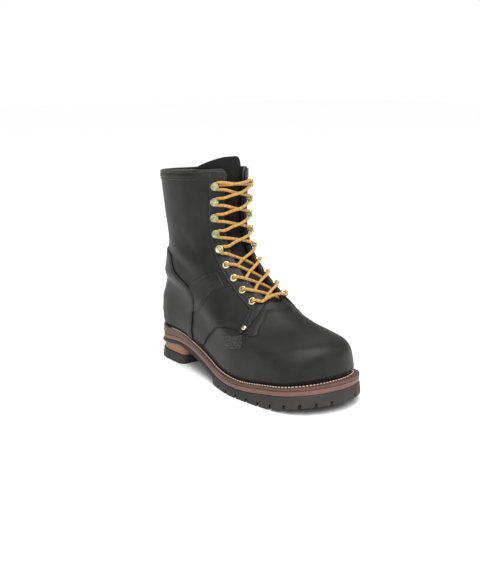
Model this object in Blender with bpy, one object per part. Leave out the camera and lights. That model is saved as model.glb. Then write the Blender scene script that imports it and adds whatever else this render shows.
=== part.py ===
"""Logger boot for the right foot: black leather upper, brown welt and midsole, lugged rubber sole.

The toe points along -Y, the outer side of the foot is -X and the floor is z = 0. Everything is in metres.
The upper is a family of closed loops, from the feather line where it meets the welt up to the collar.
Every overlay, the tongue, the insole and the sole take their shape from the same loops.
"""
import math

import bmesh
import bpy
import numpy as np
from mathutils import Matrix, Vector
from mathutils.kdtree import KDTree

# Main sizes of the last
LAST_LENGTH = 0.310
BALL_WIDTH = 0.116
HEEL_WIDTH = 0.071
LEG_WIDTH = 0.084
SHAFT_HEIGHT = 0.212
FRONT_RISE = 0.233
TOE_SWING = 0.017

# Heights above the floor
HEEL_HEIGHT = 0.046
PLATFORM_HEIGHT = 0.0215
TOE_LIFT = 0.0145
TOE_SPRING = 0.011

# Leather
WALL = 0.0022
SEAM_STEP = 0.0010
OVERLAY = 0.0012
FIT_GAP = 0.0003
OVERLAY_GAP = 0.00052
SOLE_GAP = 0.0005

# Throat, tongue and collar
THROAT_WIDTH = 0.028
THROAT_BASE = 0.385
TONGUE_THICKNESS = 0.0032
TONGUE_STAND = 0.015
TONGUE_OVERLAP = 0.016
COLLAR_BAND = 0.012

# Sole layers
WELT_WIDTH = 0.0062
TOE_WELT = 0.0125
HEEL_WELT = 0.0038
WELT_THICKNESS = 0.0042
HEEL_RAND = 0.0085
WELT_SEAT = 0.007
MIDSOLE_THICKNESS = 0.0062
INSOLE_THICKNESS = 0.0040
WAIST_THICKNESS = 0.0038
LUG_DEPTH = 0.0052
LUG_WIDTH = 0.020
LUG_CHANNEL = 0.005
LUG_GAP = 0.0032
LUG_PAIRS = 11
LUG_START = -0.010
SOLE_FLARE = 0.0015
TOP_PIECE = 0.0125
HEEL_BREAST = 0.074
HEEL_INSET = 0.0016
HEEL_NOTCHES = 4

# Hardware and lace
ROW_COUNT = 9
EYELET_ROWS = 4
ROW_FIRST = 0.013
ROW_LAST = 0.020
ROW_SETBACK = 0.0120
EYELET_RADIUS = 0.0050
EYELET_HOLE = 0.0026
EYELET_HEIGHT = 0.0013
HOOK_RADIUS = 0.0050
HOOK_PLATE = 0.0008
HOOK_OPENING = 0.0050
HOOK_NECK = 0.0036
RIVET_RADIUS = 0.0034
RIVET_HEIGHT = 0.0020
LACE_DIAMETER = 0.0038
LACE_SIDES = 6
EYESTAY_WIDTH = 0.0195
TAG_THICKNESS = 0.0010

# Loops of the foot. rise is a share of the shaft height at the back and of the front rise at the front,
# reach a share of the last length, heel a share of the heel width, waist and ball shares of the ball width.
# round_back and round_front are the shares of the loop that are rounded off at heel and toe, follow says
# how much of the side curve of the feather line a loop keeps, and swing is a share of the toe swing.
FOOT_COLUMNS = ("v", "back_reach", "back_rise", "front_reach", "front_rise", "heel",
                "waist_out", "waist_in", "ball_out", "ball_in", "round_back", "round_front", "follow", "swing")
FOOT_ROWS = (
    (0.00, 0.471, 0.000, -0.529, 0.000, 0.450, 0.350, 0.240, 0.500, 0.470, 0.13, 0.86, 1.0, 1.00),
    (0.06, 0.476, 0.047, -0.545, 0.039, 0.465, 0.380, 0.275, 0.530, 0.495, 0.14, 0.84, 1.0, 1.00),
    (0.12, 0.482, 0.104, -0.545, 0.094, 0.475, 0.390, 0.310, 0.530, 0.495, 0.15, 0.81, 0.9, 1.00),
    (0.20, 0.482, 0.179, -0.520, 0.177, 0.475, 0.375, 0.345, 0.505, 0.475, 0.17, 0.72, 0.7, 1.00),
    (0.27, 0.464, 0.245, -0.400, 0.219, 0.477, 0.370, 0.370, 0.465, 0.435, 0.20, 0.50, 0.4, 0.90),
    (0.34, 0.451, 0.311, -0.300, 0.276, 0.480, 0.370, 0.370, 0.400, 0.385, 0.25, 0.45, 0.2, 0.55),
)

# Loops of the leg: the same reach and rise, and half width as a share of the leg width.
LEG_COLUMNS = ("v", "back_reach", "back_rise", "front_reach", "front_rise", "half", "round_back", "round_front",
               "swing")
LEG_ROWS = (
    (0.42, 0.446, 0.387, -0.187, 0.366, 0.500, 0.35, 0.46, 0.25),
    (0.52, 0.437, 0.481, -0.080, 0.464, 0.500, 0.48, 0.50, 0.12),
    (0.64, 0.426, 0.590, -0.010, 0.580, 0.478, 0.50, 0.50, 0.06),
    (0.80, 0.445, 0.778, 0.019, 0.765, 0.500, 0.50, 0.50, 0.00),
    (1.00, 0.467, 1.000, 0.010, 1.000, 0.530, 0.50, 0.50, 0.00),
    (1.12, 0.473, 1.100, 0.006, 1.110, 0.540, 0.50, 0.50, 0.00),
)

# Along a loop, from back to front, the places of its widths and the toe's share of the ball
WIDTH_STATIONS = (0.0, 0.13, 0.42, 0.68, 1.0)
TOE_SHARE = 0.92
ROUNDING = 2.3

# Top of the welt along the foot: place as a share of the last length, then shares of the heel height
# above the platform and of the toe lift.
FEATHER_COLUMNS = ("y", "heel_share", "toe_share")
FEATHER_ROWS = (
    (-0.565, 0.00, 1.10),
    (-0.529, 0.00, 0.96),
    (-0.387, 0.00, 0.48),
    (-0.194, 0.00, 0.00),
    (-0.065, 0.04, 0.00),
    (0.130, 0.62, 0.00),
    (0.260, 0.95, 0.00),
    (0.350, 1.00, 0.00),
    (0.500, 1.00, 0.00),
)

# Underside of the lugs along the foot, as shares of the toe spring
TREAD_COLUMNS = ("y", "spring")
TREAD_ROWS = ((-0.60, 1.10), (-0.53, 0.92), (-0.42, 0.36), (-0.32, 0.0), (-0.09, 0.0), (-0.02, 0.20))

# Lower and front edge of the quarters over the vamp: place u round the loop and loop value v. Behind
# STEP_START the edge only guides the mesh, under the counter, and there is no step.
QUARTER_COLUMNS = ("u", "v")
QUARTER_EDGE = ((0.00, 0.190), (0.25, 0.180), (0.36, 0.050), (0.40, 0.085), (0.44, 0.158), (0.51, 0.221),
                (0.61, 0.258), (0.67, 0.262), (0.73, 0.244), (0.77, 0.253), (0.805, 0.283), (0.862, 0.321),
                (0.905, 0.350), (0.95, 0.361), (1.00, 0.366), (2.00, 0.366))
STEP_START = 0.36

# Counter panel: its front edge as place u at the loop value v, and its top edge as v at the back and sides
COUNTER_COLUMNS = ("v", "u")
COUNTER_EDGE = ((0.030, 0.305), (0.126, 0.316), (0.195, 0.329), (0.285, 0.398), (0.345, 0.436), (0.376, 0.430),
                (0.406, 0.400), (0.440, 0.352), (0.530, 0.318), (0.600, 0.300))
COUNTER_TOP = (0.570, 0.530)
COUNTER_FLAT = 0.241

# Eyestay: distance along the throat from its base, then the near and far edge, as shares of the strip's width
EYESTAY_COLUMNS = ("along", "near", "far")
EYESTAY_EDGE = ((-0.42, 1.75, 2.55), (-0.25, 0.90, 2.40), (0.00, 0.16, 1.80), (0.30, 0.05, 1.18), (0.70, 0.05, 1.00),
                (2.00, 0.05, 1.00), (12.00, 0.05, 1.00))

# The rivet on the eyestay's tail: along and away, as shares of the strip's width
RIVET_PLACE = (-0.33, 2.12)

# Side tag: loop values and places
TAG_V = (0.178, 0.222)
TAG_U = (0.590, 0.655)

MATERIALS = {
    "leather": ((0.020, 0.020, 0.021), 0.42, 0.0),
    "leather_dark": ((0.013, 0.013, 0.014), 0.50, 0.0),
    "lining": ((0.030, 0.026, 0.022), 0.85, 0.0),
    "welt_brown": ((0.085, 0.030, 0.018), 0.55, 0.0),
    "midsole_brown": ((0.160, 0.075, 0.050), 0.60, 0.0),
    "rubber_black": ((0.012, 0.012, 0.013), 0.70, 0.0),
    "lift_tan": ((0.230, 0.110, 0.050), 0.60, 0.0),
    "brass": ((0.600, 0.480, 0.200), 0.30, 1.0),
    "lace_gold": ((0.480, 0.230, 0.050), 0.75, 0.0),
    "fabric_black": ((0.015, 0.016, 0.014), 0.90, 0.0),
}


def clear_scene():
    for item in list(bpy.data.objects):
        bpy.data.objects.remove(item, do_unlink=True)


def slopes(xs, ys):
    """Slopes of a smooth curve through the points that never overshoots them."""
    step = np.diff(ys, axis=0) / np.diff(xs)[:, None]
    before = np.vstack([step[:1], step])
    after = np.vstack([step, step[-1:]])
    middle = (before + after) / 2
    limit = 3 * np.minimum(np.abs(before), np.abs(after))
    middle = np.clip(middle, -limit, limit)
    middle[before * after <= 0] = 0
    return middle


def eased(xs, ys, at):
    """Smooth values at the places at, from a table of places xs and rows or numbers ys."""
    xs = np.asarray(xs, float)
    ys = np.asarray(ys, float)
    rows = ys.reshape(len(xs), -1)
    lean = slopes(xs, rows)
    flat = np.clip(np.atleast_1d(np.asarray(at, float)), xs[0], xs[-1])
    low = np.clip(np.searchsorted(xs, flat, side="right") - 1, 0, len(xs) - 2)
    width = (xs[low + 1] - xs[low])[:, None]
    part = (flat - xs[low])[:, None] / width
    found = ((2 * part ** 3 - 3 * part ** 2 + 1) * rows[low]
             + (part ** 3 - 2 * part ** 2 + part) * width * lean[low]
             + (3 * part ** 2 - 2 * part ** 3) * rows[low + 1]
             + (part ** 3 - part ** 2) * width * lean[low + 1])
    return found[:, 0] if ys.ndim == 1 else found


def feather_height(y):
    """Height of the welt's top above the floor at the place y."""
    rows = np.array(FEATHER_ROWS)
    height = (PLATFORM_HEIGHT + rows[:, 1] * (HEEL_HEIGHT - PLATFORM_HEIGHT) + rows[:, 2] * TOE_LIFT)
    return eased(rows[:, 0] * LAST_LENGTH, height, y)


def loop_table():
    """One row of lengths for each loop: v, back y z, front y z, heel, waist and ball widths, roundings."""
    toe_height = feather_height(-0.529 * LAST_LENGTH)[0]
    table = []
    for v, by, bz, fy, fz, heel, wo, wi, bo, bi, rb, rf, follow, swing in FOOT_ROWS:
        table.append((v, by * LAST_LENGTH, HEEL_HEIGHT + bz * SHAFT_HEIGHT, fy * LAST_LENGTH,
                      toe_height + fz * FRONT_RISE, heel * HEEL_WIDTH, wo * BALL_WIDTH, bo * BALL_WIDTH,
                      heel * HEEL_WIDTH, wi * BALL_WIDTH, bi * BALL_WIDTH, rb, rf, follow, swing * TOE_SWING))
    for v, by, bz, fy, fz, half, rb, rf, swing in LEG_ROWS:
        side = half * LEG_WIDTH
        table.append((v, by * LAST_LENGTH, HEEL_HEIGHT + bz * SHAFT_HEIGHT, fy * LAST_LENGTH,
                      toe_height + fz * FRONT_RISE, side, side, side, side, side, side, rb, rf, 0.0,
                      swing * TOE_SWING))
    return np.array(table)


LOOPS = loop_table()
LOOP_TOP = LEG_ROWS[-1][0]
DENSE = 160


def half_loops(v):
    """Dense points of the outer and the inner half of the loop v, from back centre to front centre."""
    (by, bz, fy, fz, ho, wo, bo, hi, wi, bi, rb, rf, follow, swing) = eased(LOOPS[:, 0], LOOPS[:, 1:], v)[0]
    t = (1 - np.cos(np.linspace(0, math.pi, DENSE + 1))) / 2
    y = by + (fy - by) * t
    back, front = LOOPS[0, 1], LOOPS[0, 3]
    side_curve = feather_height(back + (front - back) * t)
    side_curve = side_curve - (side_curve[0] + (side_curve[-1] - side_curve[0]) * t)
    z = bz + (fz - bz) * t + follow * side_curve
    end = (np.sqrt(np.clip(1 - np.clip(1 - t / rb, 0, 1) ** ROUNDING, 0, 1))
           * np.sqrt(np.clip(1 - np.clip((t - rf) / (1 - rf), 0, 1) ** ROUNDING, 0, 1)))
    centre = swing * t ** 2
    halves = []
    for sign, heel, waist, ball in ((-1, ho, wo, bo), (1, hi, wi, bi)):
        width = eased(WIDTH_STATIONS, (heel, heel, waist, ball, ball * TOE_SHARE), t) * end
        halves.append((np.stack([centre + sign * width, y, z], axis=1), width))
    return halves


def throat_half(v):
    """Half the throat's opening at the loop v. Below the base it only guides the mesh."""
    full = THROAT_WIDTH / 2
    over = np.clip((v - THROAT_BASE) / 0.055, 0, 1)
    return full * (0.40 + 0.60 * math.sqrt(1 - (1 - over) ** 2)) if v > THROAT_BASE else full * 0.40


def form_grid(rows=225, columns=401):
    """The outer form on a fine grid: points, outward normals, and the length from back to flap edge."""
    heights = np.linspace(0, LOOP_TOP, rows)
    places = np.linspace(-2, 2, columns)
    points = np.zeros((rows, columns, 3))
    reach = np.zeros((rows, 2))
    for i, v in enumerate(heights):
        for side, (half, width) in enumerate(half_loops(v)):
            along = np.concatenate([[0], np.cumsum(np.linalg.norm(np.diff(half, axis=0), axis=1))])
            front = DENSE // 2 + int(np.argmax(width[DENSE // 2:]))
            edge = np.interp(throat_half(v), width[front:][::-1], along[front:][::-1])
            reach[i, side] = edge
            mine = places <= 0 if side == 0 else places >= 0
            far = np.abs(places[mine])
            wanted = np.where(far <= 1, far * edge, edge + (far - 1) * (along[-1] - edge))
            for axis in range(3):
                points[i, mine, axis] = np.interp(wanted, along, half[:, axis])
    around = np.empty_like(points)
    around[:, 1:-1] = points[:, 2:] - points[:, :-2]
    around[:, 0] = around[:, -1] = points[:, 1] - points[:, -2]
    upward = np.gradient(points, axis=0)
    normals = np.cross(around, upward)
    normals /= np.linalg.norm(normals, axis=2)[..., None] + 1e-12
    if (normals * (points - points.mean(axis=1, keepdims=True))).sum() < 0:
        normals = -normals
    return heights, places, points, normals, reach


GRID_V, GRID_U, GRID_POINTS, GRID_NORMALS, GRID_REACH = form_grid()


def sampled(grid, v, u):
    """Values of a fine grid at v and u. u runs round the loop: 0 back, 1 and -1 flap edges, 2 front."""
    v = np.clip(np.asarray(v, float), 0, LOOP_TOP)
    u = (np.asarray(u, float) + 2) % 4 - 2
    row = v / LOOP_TOP * (len(GRID_V) - 1)
    column = (u + 2) / 4 * (len(GRID_U) - 1)
    i = np.clip(row.astype(int), 0, len(GRID_V) - 2)
    j = np.clip(column.astype(int), 0, len(GRID_U) - 2)
    a = (row - i)[..., None]
    b = (column - j)[..., None]
    return ((1 - a) * ((1 - b) * grid[i, j] + b * grid[i, j + 1])
            + a * ((1 - b) * grid[i + 1, j] + b * grid[i + 1, j + 1]))


def on_form(v, u, lift=0.0):
    """Points on the outer form at v and u, moved out by lift."""
    normals = sampled(GRID_NORMALS, v, u)
    normals = normals / (np.linalg.norm(normals, axis=-1, keepdims=True) + 1e-12)
    return sampled(GRID_POINTS, v, u) + normals * np.asarray(lift)[..., None]


def form_normal(v, u):
    normal = Vector(sampled(GRID_NORMALS, np.array(v), np.array(u)))
    return normal.normalized()


def quarter_edge(u):
    """Loop value of the quarters' lower and front edge at the place u."""
    rows = np.array(QUARTER_EDGE)
    return eased(rows[:, 0], rows[:, 1], np.abs(u))


def form_tree():
    """The fine grid's points in a tree, to find the place on the form that is nearest to a point."""
    tree = KDTree(GRID_POINTS.shape[0] * GRID_POINTS.shape[1])
    for k, point in enumerate(GRID_POINTS.reshape(-1, 3)):
        tree.insert(point, k)
    tree.balance()
    return tree


FORM_TREE = form_tree()


def nearest(points):
    """Loop values and places of the form's points nearest to these points."""
    points = np.atleast_2d(points)
    found = [divmod(FORM_TREE.find(point)[1], len(GRID_U)) for point in points]
    v = np.array([GRID_V[i] for i, _ in found])
    u = np.array([GRID_U[j] for _, j in found])
    small = 0.004
    for _ in range(4):
        here = on_form(v, u)
        along_v = (on_form(v + small, u) - on_form(v - small, u)) / (2 * small)
        along_u = (on_form(v, u + small) - on_form(v, u - small)) / (2 * small)
        gap = points - here
        aa, bb = (along_v ** 2).sum(1), (along_u ** 2).sum(1)
        ab = (along_v * along_u).sum(1)
        ga, gb = (gap * along_v).sum(1), (gap * along_u).sum(1)
        whole = aa * bb - ab * ab + 1e-18
        v = np.clip(v + np.clip((ga * bb - gb * ab) / whole, -0.02, 0.02), 0, LOOP_TOP)
        u = u + np.clip((gb * aa - ga * ab) / whole, -0.02, 0.02)
    return v, u


def guide_line(side):
    """The line beside the throat, at half its width, from below the base to the collar: points and
    their distance along the line from the throat's base."""
    values = np.linspace(THROAT_BASE - 0.08, 1.0, 160)
    points = []
    for v in values:
        half, width = half_loops(v)[0 if side < 0 else 1]
        middle = DENSE // 2
        front = middle + int(np.argmax(width[middle:]))
        points.append([np.interp(THROAT_WIDTH / 2, width[front:][::-1], half[front:, k][::-1]) for k in range(3)])
    points = np.array(points)
    lengths = np.concatenate([[0], np.cumsum(np.linalg.norm(np.diff(points, axis=0), axis=1))])
    return points, lengths - np.interp(THROAT_BASE, values, lengths)


GUIDES = {-1: guide_line(-1), 1: guide_line(1)}


def beside_throat(side, along, away):
    """Loop values and places at distances along the throat and away from its guide line."""
    points, lengths = GUIDES[side]
    along = np.asarray(along, float)
    away = np.asarray(away, float)
    here = np.stack([np.interp(along, lengths, points[:, k]) for k in range(3)], axis=-1)
    ahead = np.stack([np.interp(along + 0.004, lengths, points[:, k]) for k in range(3)], axis=-1)
    behind = np.stack([np.interp(along - 0.004, lengths, points[:, k]) for k in range(3)], axis=-1)
    tangent = ahead - behind
    v, u = nearest(here)
    steps = 8
    for _ in range(steps):
        normals = sampled(GRID_NORMALS, v, u)
        across = np.cross(tangent, normals)
        across /= np.linalg.norm(across, axis=1)[:, None]
        across *= np.where(across[:, 0] * side < 0, -1, 1)[:, None]
        here = on_form(v, u) + across * (away / steps)[:, None]
        v, u = nearest(here)
    return v, u


def make_material(name):
    found = bpy.data.materials.get(name)
    if found:
        return found
    colour, rough, metal = MATERIALS[name]
    material = bpy.data.materials.new(name)
    material.use_nodes = True
    shader = material.node_tree.nodes["Principled BSDF"]
    shader.inputs["Base Color"].default_value = (*colour, 1)
    shader.inputs["Roughness"].default_value = rough
    shader.inputs["Metallic"].default_value = metal
    material.diffuse_color = (*colour, 1)
    return material


def make_mesh(name, vertices, faces):
    """A closed mesh with its faces pointing out."""
    mesh = bpy.data.meshes.new(name)
    mesh.from_pydata([tuple(map(float, p)) for p in vertices], [], [tuple(map(int, f)) for f in faces])
    work = bmesh.new()
    work.from_mesh(mesh)
    bmesh.ops.recalc_face_normals(work, faces=work.faces)
    if work.calc_volume(signed=True) < 0:
        bmesh.ops.reverse_faces(work, faces=work.faces)
    work.to_mesh(mesh)
    work.free()
    return mesh


def make_object(name, mesh, material, sharp=40):
    thing = bpy.data.objects.new(name, mesh)
    bpy.context.scene.collection.objects.link(thing)
    if material:
        mesh.materials.clear()
        mesh.materials.append(make_material(material))
    mesh.shade_smooth()
    mesh.set_sharp_from_angle(angle=math.radians(sharp))
    return thing


def make_cutter(name, mesh):
    cutter = bpy.data.objects.new(name, mesh)
    bpy.context.scene.collection.objects.link(cutter)
    cutter.hide_render = True
    cutter.display_type = "WIRE"
    return cutter


def add_boolean(thing, other, operation):
    modifier = thing.modifiers.new(operation.title(), "BOOLEAN")
    modifier.operation = operation
    modifier.solver = "EXACT"
    modifier.object = other


def joined_mesh(name, meshes):
    """One closed mesh that unites overlapping closed meshes."""
    whole = bpy.data.objects.new(name, meshes[0])
    bpy.context.scene.collection.objects.link(whole)
    others = []
    for mesh in meshes[1:]:
        other = make_cutter(name + "_piece", mesh)
        add_boolean(whole, other, "UNION")
        others.append(other)
    bpy.context.view_layer.update()
    graph = bpy.context.evaluated_depsgraph_get()
    result = bpy.data.meshes.new_from_object(whole.evaluated_get(graph))
    for item in [whole] + others:
        bpy.data.objects.remove(item, do_unlink=True)
    result.name = name
    return result


def shell_mesh(name, outer, inner, present, round_loop):
    """A wall between two grids of points, over the cells that are present, closed along every free side."""
    rows, columns = outer.shape[:2]
    cells = columns if round_loop else columns - 1
    index = {}
    vertices = []

    def vertex(layer, i, j):
        key = (layer, i, j % columns if round_loop else j)
        if key not in index:
            index[key] = len(vertices)
            vertices.append((outer if layer == 0 else inner)[key[1], key[2]])
        return index[key]

    def there(i, j):
        if not 0 <= i < rows - 1:
            return False
        if round_loop:
            return present[i, j % cells]
        return 0 <= j < cells and present[i, j]

    faces = []
    for i in range(rows - 1):
        for j in range(cells):
            if not there(i, j):
                continue
            faces.append([vertex(0, i, j), vertex(0, i, j + 1), vertex(0, i + 1, j + 1), vertex(0, i + 1, j)])
            faces.append([vertex(1, i, j), vertex(1, i + 1, j), vertex(1, i + 1, j + 1), vertex(1, i, j + 1)])
            sides = (((i - 1, j), (i, j), (i, j + 1)), ((i + 1, j), (i + 1, j + 1), (i + 1, j)),
                     ((i, j - 1), (i + 1, j), (i, j)), ((i, j + 1), (i, j + 1), (i + 1, j + 1)))
            for (ni, nj), first, second in sides:
                if not there(ni, nj):
                    faces.append([vertex(0, *second), vertex(0, *first), vertex(1, *first), vertex(1, *second)])
    return make_mesh(name, vertices, faces)


# The upper's mesh: places round each half, and shares of the way up below and above the quarters' edge
BACK_PLACES = (0.0, 0.025, 0.052, 0.082, 0.115, 0.155, 0.20, 0.24, 0.28, 0.325, 0.375, 0.43, 0.49, 0.55, 0.61, 0.67,
               0.73, 0.785, 0.835, 0.88, 0.92, 0.96, 1.0)
FRONT_PLACES = (1.5, 2.0)
LOWER_SHARES = (0.0, 0.12, 0.27, 0.42, 0.56, 0.70, 0.84, 0.985)
MIDDLE_SHARES = (0.015, 0.26, 0.51, 0.76)
UPPER_SHARES = (0.0, 0.05, 0.11, 0.18, 0.26, 0.35, 0.44, 0.53, 0.63, 0.77, 0.93, 1.0)


def form_columns():
    """Places u all round the loop, from the back round the inner side and home along the outer side."""
    half = BACK_PLACES + FRONT_PLACES
    return np.array(half + tuple(-u for u in half[-2:0:-1]))


def upper_rows(columns):
    """Loop value and lift of every row and column, with the quarters' step between two rows."""
    edge = quarter_edge(columns)
    hidden = np.clip((STEP_START - np.abs(columns)) / 0.04, 0, 1)
    values, lifts = [], []
    for share in LOWER_SHARES:
        values.append(edge * share)
        lifts.append(SEAM_STEP * hidden * np.clip(edge * share / 0.03, 0, 1))
    for share in MIDDLE_SHARES:
        values.append(edge + (THROAT_BASE - edge) * share)
        lifts.append(np.full_like(edge, SEAM_STEP))
    for share in UPPER_SHARES:
        values.append(np.full_like(edge, THROAT_BASE + (1 - THROAT_BASE) * share))
        lifts.append(np.full_like(edge, SEAM_STEP))
    return np.array(values), np.array(lifts)


def throat_cells(values, columns):
    """True for the cells that the leather covers: all but the throat above its base."""
    rows, count = values.shape
    covered = np.ones((rows - 1, count), bool)
    for j in range(count):
        beyond = max(abs(columns[j]), abs(columns[(j + 1) % count])) > 1.0001
        for i in range(rows - 1):
            if beyond and values[i, j] > THROAT_BASE - 1e-9:
                covered[i, j] = False
    return covered


def build_upper():
    columns = form_columns()
    values, lifts = upper_rows(columns)
    places = np.broadcast_to(columns, values.shape)
    outer = on_form(values, places, lifts)
    inner = on_form(values, places, np.full(values.shape, -WALL))
    mesh = shell_mesh("upper", outer, inner, throat_cells(values, columns), True)
    return make_object("upper", mesh, "leather", 50)


def skin_mesh(name, values, places, low, high, round_loop=False):
    """A skin between two distances off the form, over a grid of loop values and places."""
    outer = on_form(values, places, np.full(values.shape, high))
    inner = on_form(values, places, np.full(values.shape, low))
    cells = values.shape[1] if round_loop else values.shape[1] - 1
    return shell_mesh(name, outer, inner, np.ones((values.shape[0] - 1, cells), bool), round_loop)


def overlay_mesh(name, values, places, round_loop=False):
    """A leather panel one fit gap off the quarters."""
    low = SEAM_STEP + OVERLAY_GAP
    return skin_mesh(name, values, places, low, low + OVERLAY, round_loop)


def build_counter():
    """The panel round the heel, between its front edges on both sides. It has the upper's own rows and,
    round the heel, its own columns, so that it lies on the same facets."""
    rows = np.array(COUNTER_EDGE)
    low = rows[0, 0]
    columns = [u for u in np.sort(form_columns()) if abs(u) < COUNTER_FLAT]
    shares = (0.26, 0.50, 0.75, 1.0)
    plan = [(-1, share) for share in shares[::-1]] + [(u, 0.0) for u in columns] + [(1, share) for share in shares]
    values, places = [], []
    for place, share in plan:
        near = place if share == 0 else place * (COUNTER_FLAT + 0.10 * share)
        edge = quarter_edge(near)[0]
        top = COUNTER_TOP[0] + (COUNTER_TOP[1] - COUNTER_TOP[0]) * share
        lower = low + (edge - low) * np.linspace(0, 1, 6)
        middle = edge + (THROAT_BASE - edge) * np.array(MIDDLE_SHARES[1:])
        upper = THROAT_BASE + (1 - THROAT_BASE) * np.array(UPPER_SHARES[:4])
        column = np.concatenate([lower, middle, upper, [top]])
        values.append(column)
        if share == 0:
            places.append(np.full(column.shape, place))
        else:
            front = eased(rows[:, 0], rows[:, 1], column)
            places.append(place * (COUNTER_FLAT + (front - COUNTER_FLAT) * share))
    mesh = overlay_mesh("counter", np.array(values).T, np.array(places).T)
    return make_object("counter", mesh, "leather")


def build_eyestays():
    """The strips beside the throat, with a tail down to the rivet."""
    rows = np.array(EYESTAY_EDGE)
    _, lengths = GUIDES[-1]
    end = lengths[-1] - COLLAR_BAND - FIT_GAP
    along = np.concatenate([rows[:4, 0] * EYESTAY_WIDTH, np.linspace(rows[4, 0] * EYESTAY_WIDTH, end, 19)])
    shares = np.linspace(0, 1, 5)
    for side, name in ((-1, "eyestay_outer"), (1, "eyestay_inner")):
        near = eased(rows[:, 0], rows[:, 1], along / EYESTAY_WIDTH)
        far = eased(rows[:, 0], rows[:, 2], along / EYESTAY_WIDTH)
        away = (near[:, None] + (far - near)[:, None] * shares[None, :]) * EYESTAY_WIDTH
        flat = np.repeat(along, len(shares))
        v, u = beside_throat(side, flat, away.ravel())
        mesh = overlay_mesh(name, v.reshape(away.shape), u.reshape(away.shape))
        make_object(name, mesh, "leather_dark")


def build_collar_band():
    """The stitched band round the collar, over the quarters."""
    columns = np.array([u for u in form_columns() if abs(u) <= 1.0001])
    columns = np.sort(columns)
    columns[0] += 0.004
    columns[-1] -= 0.004
    low = 1 - COLLAR_BAND / SHAFT_HEIGHT * 0.66
    values = np.array([np.full(columns.shape, v) for v in (low, (low + 1) / 2, 1.0)])
    places = np.broadcast_to(columns, values.shape)
    return make_object("collar_band", overlay_mesh("collar_band", values, places), "leather")


def build_tongue():
    """The tongue under the flaps, standing proud of the collar, its top sloping down to the outer side."""
    rows, columns = 14, 9
    stand = TONGUE_STAND / SHAFT_HEIGHT
    low = THROAT_BASE - 0.035
    outer_points = np.zeros((rows, columns, 3))
    inner_points = np.zeros((rows, columns, 3))
    for i in range(rows):
        share = i / (rows - 1)
        for j in range(columns):
            across = 2 * j / (columns - 1) - 1
            drop = 0.055 * max(0.0, -across) ** 1.5 + 0.030 * max(0.0, across - 0.6) ** 2 / 0.16
            top = 1.0 + stand - drop
            v = low + (top - low) * share
            overlap = TONGUE_OVERLAP * (0.55 + 0.45 * min(1.0, share * 4)) + 0.030 * max(0.0, share - 0.55)
            shift = 0.034 * max(0.0, share - 0.45) ** 1.5
            half = throat_half(v) + overlap
            distance = across * half - shift
            u = u_from_front(v, distance)
            depth = WALL + FIT_GAP + 0.0004
            outer_points[i, j] = on_form(np.array(v), np.array(u), np.array(-depth))
            inner_points[i, j] = on_form(np.array(v), np.array(u), np.array(-depth - TONGUE_THICKNESS))
    present = np.ones((rows - 1, columns - 1), bool)
    mesh = shell_mesh("tongue", outer_points, inner_points, present, False)
    return make_object("tongue", mesh, "leather_dark", 60)


def u_from_front(v, distance):
    """The place u at this distance from the front centre along the loop, negative to the outer side."""
    v = min(v, LOOP_TOP)
    side = 0 if distance < 0 else 1
    sign = -1 if distance < 0 else 1
    gap = abs(distance)
    row = on_form(np.full(41, v), sign * np.linspace(2, 1, 41))
    length = float(np.linalg.norm(np.diff(row, axis=0), axis=1).sum())
    if gap <= length:
        return sign * (2 - gap / length)
    reach = np.interp(v, GRID_V, GRID_REACH[:, side])
    return sign * (1 - (gap - length) / reach)


SOLE_STEPS = 34


def feather_outline(margin):
    """Plan of the sole: outer and inner points from heel to toe, the feather line moved out by a margin."""
    t = (1 - np.cos(np.linspace(0, math.pi, SOLE_STEPS + 1))) / 2
    halves = []
    for half, _ in half_loops(0.0):
        dense = (1 - np.cos(np.linspace(0, math.pi, DENSE + 1))) / 2
        halves.append(np.stack([np.interp(t, dense, half[:, k]) for k in range(2)], axis=1))
    outer, inner = halves
    ring = np.vstack([outer, inner[-2:0:-1]])
    turn = np.roll(ring, -1, axis=0) - np.roll(ring, 1, axis=0)
    normal = np.stack([turn[:, 1], -turn[:, 0]], axis=1)
    normal /= np.linalg.norm(normal, axis=1)[:, None]
    if (normal * (ring - ring.mean(axis=0))).sum() < 0:
        normal = -normal
    ring = ring + normal * (welt_reach(ring[:, 1]) * (margin is not None) + (margin or 0.0))[:, None]
    return ring[:SOLE_STEPS + 1], np.vstack([ring[:1], ring[:SOLE_STEPS - 1:-1]])


def welt_reach(y):
    """How far the sole stands out past the upper: least at the heel, most at the toe."""
    places = np.array([-0.53, -0.40, 0.10, 0.30]) * LAST_LENGTH
    return eased(places, (TOE_WELT, WELT_WIDTH, WELT_WIDTH, HEEL_WELT), y)


def midsole_top(y):
    return feather_height(y) - welt_thickness(y)


def welt_thickness(y):
    """The welt is a thin strip, and a higher rand round the heel."""
    places = np.array([0.16, 0.40]) * LAST_LENGTH
    return WELT_THICKNESS + HEEL_RAND * eased(places, (0.0, 1.0), y)


def midsole_bottom(y):
    return midsole_top(y) - MIDSOLE_THICKNESS


def tread_height(y):
    """Height of the lugs' underside above the floor."""
    rows = np.array(TREAD_ROWS)
    return eased(rows[:, 0] * LAST_LENGTH, rows[:, 1] * TOE_SPRING, y)


def stacked_plate(name, levels, low=0, high=None, bottom=True):
    """A plate closed by stacked outlines. levels: outline margins and a height function, from the top down."""
    high = SOLE_STEPS if high is None else high
    rings = []
    for margin, height in levels:
        outer, inner = feather_outline(margin)
        pair = []
        for half in (outer, inner):
            half = half[low:high + 1]
            pair.append(np.column_stack([half, height(half[:, 1])]))
        rings.append(pair)
    return rings


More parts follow.
